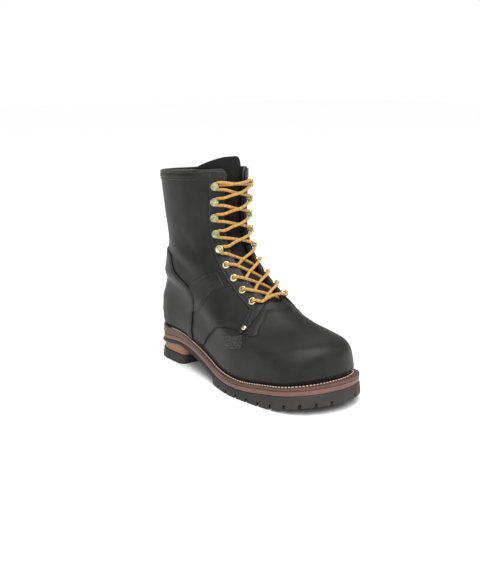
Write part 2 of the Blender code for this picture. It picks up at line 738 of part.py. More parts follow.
def plate_mesh(name, rings):
    """Closes stacked outlines into a solid: walls between the levels, and a ladder of quads at top and bottom."""
    vertices = []
    index = []
    for outer, inner in rings:
        level = []
        for half in (outer, inner):
            numbers = []
            for k, point in enumerate(half):
                if half is inner and np.allclose(point, outer[k], atol=1e-7):
                    numbers.append(level[0][k])
                    continue
                numbers.append(len(vertices))
                vertices.append(point)
            level.append(numbers)
        index.append(level)
    faces = []

    def add(face):
        kept = [n for k, n in enumerate(face) if n != face[k - 1]]
        if len(set(kept)) > 2:
            faces.append(kept)

    count = len(index[0][0])
    for (outer_a, inner_a), (outer_b, inner_b) in zip(index, index[1:]):
        for k in range(count - 1):
            add([outer_a[k], outer_a[k + 1], outer_b[k + 1], outer_b[k]])
            add([inner_a[k + 1], inner_a[k], inner_b[k], inner_b[k + 1]])
        for k in (0, count - 1):
            add([outer_a[k], outer_b[k], inner_b[k], inner_a[k]])
    for outer, inner in (index[0], index[-1]):
        for k in range(count - 1):
            add([outer[k], outer[k + 1], inner[k + 1], inner[k]])
    return make_mesh(name, vertices, faces)


def build_welt():
    """A ring under the upper's edge: flat on top, and as deep as the heel rand at the back."""
    outer, inner = feather_outline(0.0)
    seat_outer, seat_inner = feather_outline_inside(WELT_SEAT)
    loops = []
    for halves in ((outer, inner), (seat_outer, seat_inner)):
        ring = np.vstack([halves[0], halves[1][-2:0:-1]])
        loops.append(ring)
    wide, narrow = loops
    top_wide = np.column_stack([wide, feather_height(wide[:, 1]) - SOLE_GAP])
    top_narrow = np.column_stack([narrow, feather_height(narrow[:, 1]) - SOLE_GAP])
    low_wide = np.column_stack([wide, midsole_top(wide[:, 1])])
    low_narrow = np.column_stack([narrow, midsole_top(narrow[:, 1])])
    outer_grid = np.stack([top_narrow, top_wide])
    inner_grid = np.stack([low_narrow, low_wide])
    mesh = shell_mesh("welt", outer_grid, inner_grid, np.ones((1, len(wide)), bool), True)
    return make_object("welt", mesh, "welt_brown")


def feather_outline_inside(inset):
    """The feather line moved in, without the welt's reach."""
    outer, inner = feather_outline(None)
    ring = np.vstack([outer, inner[-2:0:-1]])
    turn = np.roll(ring, -1, axis=0) - np.roll(ring, 1, axis=0)
    normal = np.stack([turn[:, 1], -turn[:, 0]], axis=1)
    normal /= np.linalg.norm(normal, axis=1)[:, None]
    if (normal * (ring - ring.mean(axis=0))).sum() < 0:
        normal = -normal
    ring = ring - normal * inset
    return ring[:SOLE_STEPS + 1], np.vstack([ring[:1], ring[:SOLE_STEPS - 1:-1]])


def build_insole():
    """A board that sits in the welt ring and spreads to the upper's inside wall."""
    side_gap = 2 * FIT_GAP
    levels = (
        (WALL + side_gap, lambda y: feather_height(y) + INSOLE_THICKNESS),
        (WALL + side_gap, lambda y: feather_height(y)),
        (WELT_SEAT + side_gap, lambda y: feather_height(y)),
        (WELT_SEAT + side_gap, lambda y: midsole_top(y) + FIT_GAP),
    )
    rings = []
    for inset, height in levels:
        pair = []
        for half in feather_outline_inside(inset):
            pair.append(np.column_stack([half, height(half[:, 1])]))
        rings.append(pair)
    return make_object("insole", plate_mesh("insole", rings), "lining")


def build_midsole():
    levels = ((0.0, lambda y: midsole_top(y) - FIT_GAP), (0.0, lambda y: midsole_bottom(y)))
    return make_object("midsole", plate_mesh("midsole", stacked_plate("midsole", levels)), "midsole_brown")


def outsole_base(y):
    """Underside of the outsole between the lugs: thin at the waist and heel, thick under the forefoot."""
    thin = midsole_bottom(y) - WAIST_THICKNESS
    thick = tread_height(y) + LUG_DEPTH
    return np.where(y > LUG_START, thin, np.minimum(thin, thick))


def lug_stations():
    """Places along each half of the outsole, 0 heel to 1 toe: thin part, then lug and gap in turn."""
    outer, _ = feather_outline(SOLE_FLARE)
    along = np.concatenate([[0], np.cumsum(np.linalg.norm(np.diff(outer, axis=0), axis=1))])
    start = float(np.interp(-LUG_START, -outer[:, 1], along))
    pitch = (along[-1] - start + LUG_GAP / 2) / LUG_PAIRS
    lugs = []
    for k in range(LUG_PAIRS):
        lugs.append((start + k * pitch, start + (k + 1) * pitch - LUG_GAP))
    lugs[-1] = (lugs[-1][0], along[-1])
    return along[-1], start, lugs


def ring_at(outline, shares):
    """Points of an outline's half at these shares of its length."""
    along = np.concatenate([[0], np.cumsum(np.linalg.norm(np.diff(outline, axis=0), axis=1))])
    return np.stack([np.interp(shares * along[-1], along, outline[:, k]) for k in range(2)], axis=1)


def build_outsole():
    """One rubber piece: a thin shank and heel seat, and under the forefoot a base with lugs round its
    edge and bars across its middle."""
    total, start, lugs = lug_stations()
    back = np.linspace(0, 1, 19) ** 1.2
    stations = [(share * start / total, False) for share in back]
    for a, b in lugs:
        stations += [(a / total, True), (b / total, False)]
    stations = [item for k, item in enumerate(stations) if k != len(back) - 1]
    shares = np.array([share for share, _ in stations])
    is_lug = [flag for _, flag in stations][:-1]
    insets = (SOLE_FLARE, SOLE_FLARE - LUG_WIDTH, SOLE_FLARE - LUG_WIDTH - LUG_CHANNEL)
    rings = [[ring_at(half, shares) for half in feather_outline(margin)] for margin in insets]
    top = [ring_at(half, shares) for half in feather_outline(0.0)]
    return outsole_mesh(shares, is_lug, rings, top)


def outsole_mesh(shares, is_lug, rings, top):
    work = bmesh.new()
    count = len(shares)

    def row(points, height):
        found = []
        for x, y in points:
            found.append(work.verts.new((x, y, float(height(np.array([y]))[0]))))
        return found

    top_rows = [row(half, lambda y: midsole_bottom(y) - FIT_GAP) for half in top]
    low_rows = [[row(half, outsole_base) for half in pair] for pair in rings]
    lug_faces = []
    for k in range(count - 1):
        ladder = [low_rows[0][0], low_rows[1][0], low_rows[2][0], low_rows[2][1], low_rows[1][1], low_rows[0][1]]
        for place, (a, b) in enumerate(zip(ladder, ladder[1:])):
            face = work.faces.new((a[k], a[k + 1], b[k + 1], b[k]))
            edge_lug = place in (0, 4) and is_lug[k]
            bar_lug = place == 2 and is_lug[k] and k < count - 4
            if edge_lug or bar_lug:
                lug_faces.append(face)
        work.faces.new((top_rows[0][k], top_rows[0][k + 1], top_rows[1][k + 1], top_rows[1][k]))
        for side in (0, 1):
            a, b = top_rows[side], low_rows[0][side]
            work.faces.new((a[k], a[k + 1], b[k + 1], b[k]))
    bmesh.ops.remove_doubles(work, verts=work.verts, dist=1e-6)
    bmesh.ops.recalc_face_normals(work, faces=work.faces)
    lug_faces = [face for face in lug_faces if face.is_valid]
    result = bmesh.ops.extrude_face_region(work, geom=lug_faces)
    lowered = [item for item in result["geom"] if isinstance(item, bmesh.types.BMVert)]
    bmesh.ops.delete(work, geom=[face for face in lug_faces if face.is_valid], context="FACES")
    for vertex in lowered:
        vertex.co.z = float(tread_height(np.array([vertex.co.y]))[0])
    bmesh.ops.recalc_face_normals(work, faces=work.faces)
    mesh = bpy.data.meshes.new("outsole")
    if work.calc_volume(signed=True) < 0:
        bmesh.ops.reverse_faces(work, faces=work.faces)
    work.to_mesh(mesh)
    work.free()
    return make_object("outsole", mesh, "rubber_black", 30)


def heel_outline(margin, front):
    """Plan of the heel: the sole's outline from the back to the breast."""
    halves = []
    for half in feather_outline(margin):
        keep = half[half[:, 1] > front]
        last = len(keep)
        a, b = half[last - 1], half[last]
        s = (a[1] - front) / (a[1] - b[1])
        halves.append(np.vstack([keep, a + (b - a) * s]))
    return halves


def heel_plate(name, levels, material):
    """A heel layer from its top down. levels: margin, breast place and height."""
    rings = []
    for margin, front, height in levels:
        pair = []
        for half in heel_outline(margin, front):
            pair.append(resampled(np.column_stack([half, height(half[:, 1])]), 17))
        rings.append(pair)
    return make_object(name, plate_mesh(name, rings), material)


def resampled(points, count):
    along = np.concatenate([[0], np.cumsum(np.linalg.norm(np.diff(points, axis=0), axis=1))])
    wanted = np.linspace(0, along[-1], count)
    return np.stack([np.interp(wanted, along, points[:, k]) for k in range(3)], axis=1)


def build_heel():
    """A tan lift and a black top piece with notches round its lower edge."""
    seat = lambda y: midsole_bottom(y) - WAIST_THICKNESS - SOLE_GAP - FIT_GAP / 2
    lift = heel_plate("heel_lift", (
        (-HEEL_INSET, HEEL_BREAST, seat),
        (-HEEL_INSET, HEEL_BREAST, lambda y: np.full_like(y, TOP_PIECE + FIT_GAP)),
    ), "lift_tan")
    top_piece = heel_plate("heel_top_piece", (
        (0.0, HEEL_BREAST, lambda y: np.full_like(y, TOP_PIECE)),
        (SOLE_FLARE, HEEL_BREAST, lambda y: np.full_like(y, 0.0)),
    ), "rubber_black")
    notches = heel_notches()
    add_boolean(top_piece, make_cutter("heel_notches", notches), "DIFFERENCE")
    return lift, top_piece


def box_mesh(name, low, high, turn=0.0, centre=(0.0, 0.0)):
    corners = [(x, y, z) for x in (low[0], high[0]) for y in (low[1], high[1]) for z in (low[2], high[2])]
    rotation = Matrix.Rotation(turn, 4, "Z")
    moved = [rotation @ Vector(c) + Vector((centre[0], centre[1], 0)) for c in corners]
    faces = [(0, 1, 3, 2), (4, 6, 7, 5), (0, 4, 5, 1), (2, 3, 7, 6), (0, 2, 6, 4), (1, 5, 7, 3)]
    return make_mesh(name, moved, faces)


def heel_notches():
    """Radial slots round the heel's lower edge, in one mesh of separate boxes."""
    work = bmesh.new()
    for half in heel_outline(SOLE_FLARE, HEEL_BREAST):
        along = np.concatenate([[0], np.cumsum(np.linalg.norm(np.diff(half, axis=0), axis=1))])
        for k in range(HEEL_NOTCHES):
            place = along[-1] * (k + 0.62) / (HEEL_NOTCHES + 0.24)
            at = np.array([np.interp(place, along, half[:, a]) for a in range(2)])
            ahead = np.array([np.interp(place + 0.001, along, half[:, a]) for a in range(2)])
            angle = math.atan2(*(ahead - at)[::-1])
            box = box_mesh("slot", (-LUG_GAP / 2, -LUG_WIDTH / 2, -LUG_DEPTH),
                           (LUG_GAP / 2, LUG_WIDTH / 2, LUG_DEPTH), angle, at)
            work.from_mesh(box)
            bpy.data.meshes.remove(box)
    mesh = bpy.data.meshes.new("heel_notches")
    work.to_mesh(mesh)
    work.free()
    return mesh


def ring_mesh(name, profile, sides):
    """A turned ring: profile of radius and height, closed round the axis Z."""
    count = len(profile)
    vertices = []
    for k in range(sides):
        angle = 2 * math.pi * k / sides
        vertices += [(r * math.cos(angle), r * math.sin(angle), h) for r, h in profile]
    faces = []
    for k in range(sides):
        for m in range(count):
            a, b = k * count + m, k * count + (m + 1) % count
            c, d = ((k + 1) % sides) * count + (m + 1) % count, ((k + 1) % sides) * count + m
            faces.append([a, b, c, d])
    return make_mesh(name, vertices, faces)


def disc_mesh(name, profile, sides):
    """A turned solid: profile of radius and height from the bottom up, closed by flat ends."""
    count = len(profile)
    vertices = []
    for k in range(sides):
        angle = 2 * math.pi * k / sides
        vertices += [(r * math.cos(angle), r * math.sin(angle), h) for r, h in profile]
    faces = [[k * count for k in range(sides)][::-1], [k * count + count - 1 for k in range(sides)]]
    for k in range(sides):
        n = (k + 1) % sides
        for m in range(count - 1):
            faces.append([k * count + m, n * count + m, n * count + m + 1, k * count + m + 1])
    return make_mesh(name, vertices, faces)


def eyelet_mesh():
    middle = (EYELET_RADIUS + EYELET_HOLE) / 2
    return ring_mesh("eyelet", ((EYELET_RADIUS, 0.0), (middle, EYELET_HEIGHT), (EYELET_HOLE, 0.0)), 12)


def hook_mesh():
    """Base plate, neck on the throat side (local +X) and cap of a speed hook."""
    cap_low = HOOK_PLATE + HOOK_OPENING
    base = disc_mesh("hook_base", ((HOOK_RADIUS * 0.9, 0.0), (HOOK_RADIUS * 0.9, HOOK_PLATE)), 8)
    cap = disc_mesh("hook_cap", ((HOOK_RADIUS, cap_low), (HOOK_RADIUS, cap_low + HOOK_PLATE),
                                 (HOOK_RADIUS * 0.6, cap_low + 1.8 * HOOK_PLATE)), 8)
    neck_x = HOOK_RADIUS * 0.72
    neck = box_mesh("hook_neck", (neck_x - HOOK_PLATE, -HOOK_NECK / 2, HOOK_PLATE * 0.4),
                    (neck_x, HOOK_NECK / 2, cap_low + HOOK_PLATE * 0.6))
    return joined_mesh("hook", [base, neck, cap])


def row_places(side, offset=None):
    """Loop value and place of each row of hardware, moved along the throat by an offset for each row."""
    _, lengths = GUIDES[side]
    along = np.linspace(ROW_FIRST, lengths[-1] - ROW_LAST, ROW_COUNT)
    if offset is not None:
        along = along + offset
    v, u = beside_throat(side, along, np.full(ROW_COUNT, ROW_SETBACK))
    return list(zip(v, u))


def hardware_frame(v, u, lift):
    """Turns a fitting's own frame onto the form: Z out of the leather, X toward the throat."""
    normal = form_normal(v, u)
    origin = Vector(on_form(np.array(v), np.array(u), np.array(lift)))
    toward = math.copysign(0.02, u)
    across = Vector(on_form(np.array(v), np.array(u + toward))) - Vector(on_form(np.array(v), np.array(u - toward)))
    x_axis = (across - normal * across.dot(normal)).normalized()
    y_axis = normal.cross(x_axis)
    frame = Matrix((x_axis, y_axis, normal)).transposed().to_4x4()
    return Matrix.Translation(origin) @ frame


def fitting_lift():
    return SEAM_STEP + OVERLAY_GAP + OVERLAY + FIT_GAP


def place_fitting(name, mesh, material, v, u, lift):
    fitting = make_object(name, mesh.copy(), material)
    fitting.matrix_world = hardware_frame(v, u, lift)
    return fitting


def build_hardware():
    """Grommets on the lower rows, speed hooks above, and a rivet at the foot of each eyestay."""
    eyelet, hook = eyelet_mesh(), hook_mesh()
    rivet = disc_mesh("rivet", ((RIVET_RADIUS, 0.0), (RIVET_RADIUS * 0.85, RIVET_HEIGHT * 0.6),
                                (RIVET_RADIUS * 0.4, RIVET_HEIGHT)), 10)
    for side, word in ((-1, "outer"), (1, "inner")):
        for k, (v, u) in enumerate(row_places(side)):
            if k < EYELET_ROWS:
                place_fitting(f"eyelet_{word}_{k + 1}", eyelet, "brass", v, u, fitting_lift())
            else:
                place_fitting(f"hook_{word}_{k + 1}", hook, "brass", v, u, fitting_lift())
        along, away = (share * EYESTAY_WIDTH for share in RIVET_PLACE)
        v, u = beside_throat(side, [along], [away])
        place_fitting(f"rivet_{word}", rivet, "brass", v[0], u[0], fitting_lift())


def tube_mesh(name, path, radius, sides):
    """A round tube along a path, with flat ends."""
    path = [Vector(p) for p in path]
    vertices = []
    side_axis = None
    for k, point in enumerate(path):
        ahead = path[min(k + 1, len(path) - 1)] - path[max(k - 1, 0)]
        ahead.normalize()
        if side_axis is None:
            side_axis = ahead.orthogonal()
        side_axis = (side_axis - ahead * side_axis.dot(ahead)).normalized()
        other = ahead.cross(side_axis)
        for m in range(sides):
            angle = 2 * math.pi * m / sides
            vertices.append(point + (side_axis * math.cos(angle) + other * math.sin(angle)) * radius)
    faces = [list(range(sides))[::-1], [(len(path) - 1) * sides + m for m in range(sides)]]
    for k in range(len(path) - 1):
        for m in range(sides):
            n = (m + 1) % sides
            faces.append([k * sides + m, k * sides + n, (k + 1) * sides + n, (k + 1) * sides + m])
    return make_mesh(name, vertices, faces)


def lace_end(k, side, along):
    """Where a strand ends at row k: its point on the form and its height over it. along is -1 or 1."""
    hook = k >= EYELET_ROWS
    height = fitting_lift() + (HOOK_PLATE if hook else EYELET_HEIGHT) + LACE_DIAMETER / 2 + 2 * FIT_GAP
    offset = LACE_DIAMETER / 2 + (HOOK_NECK / 2 + 2 * FIT_GAP if hook else FIT_GAP)
    shifts = np.full(ROW_COUNT, along * offset)
    v, u = row_places(side, shifts)[k]
    return on_form(v, u), height


def strand(start, end, steps=5):
    """A strand over the throat, from (row, side, direction) to another, following the form."""
    (a, height_a), (b, height_b) = (lace_end(*item) for item in (start, end))
    shares = np.linspace(0, 1, steps + 1)
    chord = a + (b - a) * shares[:, None]
    v, u = nearest(chord)
    path = on_form(v, u, height_a + (height_b - height_a) * shares)
    return tube_mesh("strand", path, LACE_DIAMETER / 2, LACE_SIDES)


def build_lace():
    """A bar at the lowest row, a crossing between each two rows and a bar at the top row."""
    make_object("lace_bar_bottom", strand((0, -1, -1), (0, 1, -1)), "lace_gold")
    for k in range(ROW_COUNT - 1):
        first = strand((k, -1, 1), (k + 1, 1, -1))
        second = strand((k, 1, 1), (k + 1, -1, -1))
        crossing = joined_mesh(f"lace_crossing_{k + 1}", [first, second])
        make_object(f"lace_crossing_{k + 1}", crossing, "lace_gold")
    last = ROW_COUNT - 1
    make_object("lace_bar_top", strand((last, -1, 1), (last, 1, 1)), "lace_gold")


def build_side_tag():
    """A small bare tab on the vamp below the quarter's edge, on the outer side."""
    values, places = np.meshgrid(np.linspace(*TAG_V, 3), -np.linspace(*TAG_U, 4), indexing="ij")
    mesh = skin_mesh("side_tag", values, places, FIT_GAP, FIT_GAP + TAG_THICKNESS)
    return make_object("side_tag", mesh, "fabric_black")


def centre_boot():
    """Hangs every piece on an empty that centres the sole, the widest piece, on the origin."""
    corners = [Vector(corner) for corner in bpy.data.objects["outsole"].bound_box]
    middle = (max(c.x for c in corners) + min(c.x for c in corners)) / 2
    along = (max(c.y for c in corners) + min(c.y for c in corners)) / 2
    pieces = list(bpy.data.objects)
    boot = bpy.data.objects.new("boot", None)
    bpy.context.scene.collection.objects.link(boot)
    boot.location = (-middle, -along, 0)
    for piece in pieces:
        piece.parent = boot


def main():
    clear_scene()
    build_upper()
    build_counter()
    build_eyestays()
    build_collar_band()
    build_tongue()
    build_insole()
    build_welt()
    build_midsole()
    build_outsole()
    build_heel()
    build_hardware()
    build_lace()
    build_side_tag()
    centre_boot()


main()
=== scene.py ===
import math

import bpy
import numpy as np
from mathutils import Matrix, Vector
from mathutils.kdtree import KDTree


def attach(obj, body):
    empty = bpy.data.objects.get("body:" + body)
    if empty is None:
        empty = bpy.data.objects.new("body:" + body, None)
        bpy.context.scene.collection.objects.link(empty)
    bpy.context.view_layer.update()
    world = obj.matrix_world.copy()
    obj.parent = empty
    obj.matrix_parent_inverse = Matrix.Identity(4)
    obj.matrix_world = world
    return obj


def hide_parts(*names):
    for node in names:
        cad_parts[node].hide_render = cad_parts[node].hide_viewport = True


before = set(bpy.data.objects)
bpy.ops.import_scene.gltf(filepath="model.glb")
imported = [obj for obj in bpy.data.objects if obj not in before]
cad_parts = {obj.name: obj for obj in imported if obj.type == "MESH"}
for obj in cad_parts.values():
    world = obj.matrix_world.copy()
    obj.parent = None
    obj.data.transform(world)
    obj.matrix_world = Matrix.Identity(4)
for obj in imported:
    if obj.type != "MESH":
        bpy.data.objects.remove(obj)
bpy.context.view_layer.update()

bootShift = np.array([-0.00743, 0.01332,
                      0.0])  # the tables below are in the last's own place, the boot is centred
mm = 0.001
print("frame loaded:", len(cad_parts), "nodes")


# Camera, at the photograph's angle

view = {"azimuth": -38.25, "elevation": 14.0, "roll": -0.2, "distance": 1.065, "lens": 51.03,
        "target": (0.0, -0.0028, 0.1108)}


def addCamera():
    turn, rise, roll = (math.radians(view[key]) for key in ("azimuth", "elevation", "roll"))
    back = Vector((math.sin(turn) * math.cos(rise), -math.cos(turn) * math.cos(rise), math.sin(rise)))
    right = (-back).cross(Vector((0, 0, 1))).normalized()
    up = back.cross(right)
    rolledRight = right * math.cos(roll) + up * math.sin(roll)
    rolledUp = up * math.cos(roll) - right * math.sin(roll)
    data = bpy.data.cameras.new("photoCamera")
    data.lens = view["lens"]
    data.clip_end = 50
    data.dof.use_dof = False
    camera = bpy.data.objects.new("photoCamera", data)
    bpy.context.scene.collection.objects.link(camera)
    place = Vector(view["target"]) + Vector(bootShift) + back * view["distance"]
    turned = Matrix((rolledRight, rolledUp, back)).transposed().to_4x4()
    camera.matrix_world = Matrix.Translation(place) @ turned
    bpy.context.scene.camera = camera


addCamera()
bpy.context.scene.view_settings.view_transform = "Standard"
print("camera set")


# The last: closed loops from the feather line (v 0) to the collar (v 1). Round a loop u is 0 at the back,
# 1 and -1 at the throat's edges and 2 at the front, and it is negative on the outer side.

last = {"length": 0.310, "ball": 0.116, "heel": 0.071, "leg": 0.084, "shaft": 0.212, "front": 0.233,
        "swing": 0.017, "heelHeight": 0.046, "platform": 0.0215, "toeLift": 0.0145, "toeSpring": 0.011,
        "rounding": 2.3, "toeShare": 0.92, "top": 1.12, "dense": 160}

# v, back reach and rise, front reach and rise, heel, waist out and in, ball out and in, rounding back and
# front, share of the side curve kept, share of the toe swing
footRows = (
    (0.00, 0.471, 0.000, -0.529, 0.000, 0.450, 0.350, 0.240, 0.500, 0.470, 0.13, 0.86, 1.0, 1.00),
    (0.06, 0.476, 0.047, -0.545, 0.039, 0.465, 0.380, 0.275, 0.530, 0.495, 0.14, 0.84, 1.0, 1.00),
    (0.12, 0.482, 0.104, -0.545, 0.094, 0.475, 0.390, 0.310, 0.530, 0.495, 0.15, 0.81, 0.9, 1.00),
    (0.20, 0.482, 0.179, -0.520, 0.177, 0.475, 0.375, 0.345, 0.505, 0.475, 0.17, 0.72, 0.7, 1.00),
    (0.27, 0.464, 0.245, -0.400, 0.219, 0.477, 0.370, 0.370, 0.465, 0.435, 0.20, 0.50, 0.4, 0.90),
    (0.34, 0.451, 0.311, -0.300, 0.276, 0.480, 0.370, 0.370, 0.400, 0.385, 0.25, 0.45, 0.2, 0.55),
)
# v, back reach and rise, front reach and rise, half width, rounding back and front, share of the swing
legRows = (
    (0.42, 0.446, 0.387, -0.187, 0.366, 0.500, 0.35, 0.46, 0.25),
    (0.52, 0.437, 0.481, -0.080, 0.464, 0.500, 0.48, 0.50, 0.12),
    (0.64, 0.426, 0.590, -0.010, 0.580, 0.478, 0.50, 0.50, 0.06),
    (0.80, 0.445, 0.778, 0.019, 0.765, 0.500, 0.50, 0.50, 0.00),
    (1.00, 0.467, 1.000, 0.010, 1.000, 0.530, 0.50, 0.50, 0.00),
    (1.12, 0.473, 1.100, 0.006, 1.110, 0.540, 0.50, 0.50, 0.00),
)
widthStations = (0.0, 0.13, 0.42, 0.68, 1.0)
# place along the last, share of the heel's height over the platform, share of the toe's lift
featherRows = ((-0.565, 0.00, 1.10), (-0.529, 0.00, 0.96), (-0.387, 0.00, 0.48), (-0.194, 0.00, 0.00),
               (-0.065, 0.04, 0.00), (0.130, 0.62, 0.00), (0.260, 0.95, 0.00), (0.350, 1.00, 0.00),
               (0.500, 1.00, 0.00))
treadRows = ((-0.60, 1.10), (-0.53, 0.92), (-0.42, 0.36), (-0.32, 0.0), (-0.09, 0.0), (-0.02, 0.20))

wall, seamStep = 2.2 * mm, 1.0 * mm
throat = {"width": 0.028, "base": 0.385, "narrow": 0.40, "open": 0.055}


def hermite(part, width, start, end, startSlope, endSlope):
    # a cubic between two rows, with these slopes at its ends
    return ((2 * part ** 3 - 3 * part ** 2 + 1) * start + (part ** 3 - 2 * part ** 2 + part) * width
            * startSlope
            + (3 * part ** 2 - 2 * part ** 3) * end + (part ** 3 - part ** 2) * width * endSlope)


def eased(xs, ys, at):
    # a smooth table that never overshoots its rows
    xs, ys = np.asarray(xs, float), np.asarray(ys, float)
    rows = ys.reshape(len(xs), -1)
    step = np.diff(rows, axis=0) / np.diff(xs)[:, None]
    before, after = np.vstack([step[:1], step]), np.vstack([step, step[-1:]])
    limit = 3 * np.minimum(np.abs(before), np.abs(after))
    lean = np.clip((before + after) / 2, -limit, limit)
    lean[before * after <= 0] = 0
    flat = np.clip(np.atleast_1d(np.asarray(at, float)), xs[0], xs[-1])
    low = np.clip(np.searchsorted(xs, flat, side="right") - 1, 0, len(xs) - 2)
    width = (xs[low + 1] - xs[low])[:, None]
    part = (flat - xs[low])[:, None] / width
    found = hermite(part, width, rows[low], rows[low + 1], lean[low], lean[low + 1])
    return found[:, 0] if ys.ndim == 1 else found


def featherHeight(y):
    rows = np.array(featherRows)
    rise = last["heelHeight"] - last["platform"]
    height = last["platform"] + rows[:, 1] * rise + rows[:, 2] * last["toeLift"]
    return eased(rows[:, 0] * last["length"], height, y)


def loopTable():
    toeHeight = featherHeight(-0.529 * last["length"])[0]
    long, ball, heel, leg = last["length"], last["ball"], last["heel"], last["leg"]
    table = []
    for v, by, bz, fy, fz, he, wo, wi, bo, bi, rb, rf, follow, swing in footRows:
        table.append((v, by * long, last["heelHeight"] + bz * last["shaft"], fy * long,
                      toeHeight + fz * last["front"],
                      he * heel, wo * ball, bo * ball, he * heel, wi * ball, bi * ball, rb, rf, follow,
                      swing * last["swing"]))
    for v, by, bz, fy, fz, half, rb, rf, swing in legRows:
        side = half * leg
        table.append((v, by * long, last["heelHeight"] + bz * last["shaft"], fy * long,
                      toeHeight + fz * last["front"],
                      side, side, side, side, side, side, rb, rf, 0.0, swing * last["swing"]))
    return np.array(table)


loops = loopTable()


def halfLoops(v):
    by, bz, fy, fz, ho, wo, bo, hi, wi, bi, rb, rf, follow, swing = eased(loops[:, 0], loops[:, 1:], v)[0]
    t = (1 - np.cos(np.linspace(0, math.pi, last["dense"] + 1))) / 2
    y = by + (fy - by) * t
    sideCurve = featherHeight(loops[0, 1] + (loops[0, 3] - loops[0, 1]) * t)
    sideCurve = sideCurve - (sideCurve[0] + (sideCurve[-1] - sideCurve[0]) * t)
    z = bz + (fz - bz) * t + follow * sideCurve
    end = (np.sqrt(np.clip(1 - np.clip(1 - t / rb, 0, 1) ** last["rounding"], 0, 1))
           * np.sqrt(np.clip(1 - np.clip((t - rf) / (1 - rf), 0, 1) ** last["rounding"], 0, 1)))
    halves = []
    for sign, heel, waist, ball in ((-1, ho, wo, bo), (1, hi, wi, bi)):
        width = eased(widthStations, (heel, heel, waist, ball, ball * last["toeShare"]), t) * end
        halves.append((np.stack([swing * t ** 2 + sign * width, y, z], axis=1), width))
    return halves


def throatHalf(v):
    full = throat["width"] / 2
    if v <= throat["base"]:
        return full * throat["narrow"]
    over = min((v - throat["base"]) / throat["open"], 1)
    return full * (throat["narrow"] + (1 - throat["narrow"]) * math.sqrt(1 - (1 - over) ** 2))


def pathLength(points):
    return np.concatenate([[0], np.cumsum(np.linalg.norm(np.diff(points, axis=0), axis=1))])


def pointsAt(places, lengths, points):
    # the points this far along a path
    return np.stack([np.interp(places, lengths, points[:, k]) for k in range(points.shape[1])], axis=-1)


def widestStep(width):
    # where a half loop starts to close toward the front
    middle = last["dense"] // 2
    return middle + int(np.argmax(width[middle:]))


def formGrid(rows=225, columns=401):
    heights, places = np.linspace(0, last["top"], rows), np.linspace(-2, 2, columns)
    points, reach = np.zeros((rows, columns, 3)), np.zeros((rows, 2))
    for i, v in enumerate(heights):
        for side, (half, width) in enumerate(halfLoops(v)):
            along = pathLength(half)
            front = widestStep(width)
            edge = np.interp(throatHalf(v), width[front:][::-1], along[front:][::-1])
            reach[i, side] = edge
            mine = places <= 0 if side == 0 else places >= 0
            far = np.abs(places[mine])
            wanted = np.where(far <= 1, far * edge, edge + (far - 1) * (along[-1] - edge))
            points[i, mine] = pointsAt(wanted, along, half)
    around = np.empty_like(points)
    around[:, 1:-1] = points[:, 2:] - points[:, :-2]
    around[:, 0] = around[:, -1] = points[:, 1] - points[:, -2]
    normals = np.cross(np.gradient(points, axis=0), around)
    normals /= np.linalg.norm(normals, axis=2)[..., None] + 1e-12
    return heights, places, points, normals, reach


gridV, gridU, gridPoints, gridNormals, gridReach = formGrid()
formTree = KDTree(gridPoints.shape[0] * gridPoints.shape[1])
for number, point in enumerate(gridPoints.reshape(-1, 3)):
    formTree.insert(point, number)
formTree.balance()


def sampled(grid, v, u):
    v = np.clip(np.asarray(v, float), 0, last["top"])
    u = (np.asarray(u, float) + 2) % 4 - 2
    row, column = v / last["top"] * (len(gridV) - 1), (u + 2) / 4 * (len(gridU) - 1)
    i = np.clip(row.astype(int), 0, len(gridV) - 2)
    j = np.clip(column.astype(int), 0, len(gridU) - 2)
    a, b = (row - i)[..., None], (column - j)[..., None]
    return ((1 - a) * ((1 - b) * grid[i, j] + b * grid[i, j + 1])
            + a * ((1 - b) * grid[i + 1, j] + b * grid[i + 1, j + 1]))


def formNormals(v, u):
    normals = sampled(gridNormals, v, u)
    return normals / (np.linalg.norm(normals, axis=-1, keepdims=True) + 1e-12)


def onForm(v, u, lift=0.0):
    return sampled(gridPoints, v, u) + formNormals(v, u) * np.asarray(lift)[..., None]


def nearest(points):
    # loop values and places of the form's points nearest to these
    points = np.atleast_2d(points)
    found = [divmod(formTree.find(point)[1], len(gridU)) for point in points]
    v, u = np.array([gridV[i] for i, _ in found]), np.array([gridU[j] for _, j in found])
    small, farthest = 0.004, 0.02  # steps of the loop value and place
    for _ in range(4):
        here = onForm(v, u)
        alongV = (onForm(v + small, u) - onForm(v - small, u)) / (2 * small)
        alongU = (onForm(v, u + small) - onForm(v, u - small)) / (2 * small)
        gap = points - here
        aa, bb, ab = (alongV ** 2).sum(1), (alongU ** 2).sum(1), (alongV * alongU).sum(1)
        ga, gb = (gap * alongV).sum(1), (gap * alongU).sum(1)
        whole = aa * bb - ab * ab + 1e-18
        v = np.clip(v + np.clip((ga * bb - gb * ab) / whole, -farthest, farthest), 0, last["top"])
        u = u + np.clip((gb * aa - ga * ab) / whole, -farthest, farthest)
    return v, u


def guideLine(side):
    # the line beside the throat, at half its width, with distances from the throat's base
    values = np.linspace(throat["base"] - 0.08, 1.0, 160)
    points = []
    for v in values:
        half, width = halfLoops(v)[0 if side < 0 else 1]
        front = widestStep(width)
        points.append(pointsAt(throat["width"] / 2, width[front:][::-1], half[front:][::-1]))
    points = np.array(points)
    lengths = pathLength(points)
    return points, lengths - np.interp(throat["base"], values, lengths)


guides = {-1: guideLine(-1), 1: guideLine(1)}


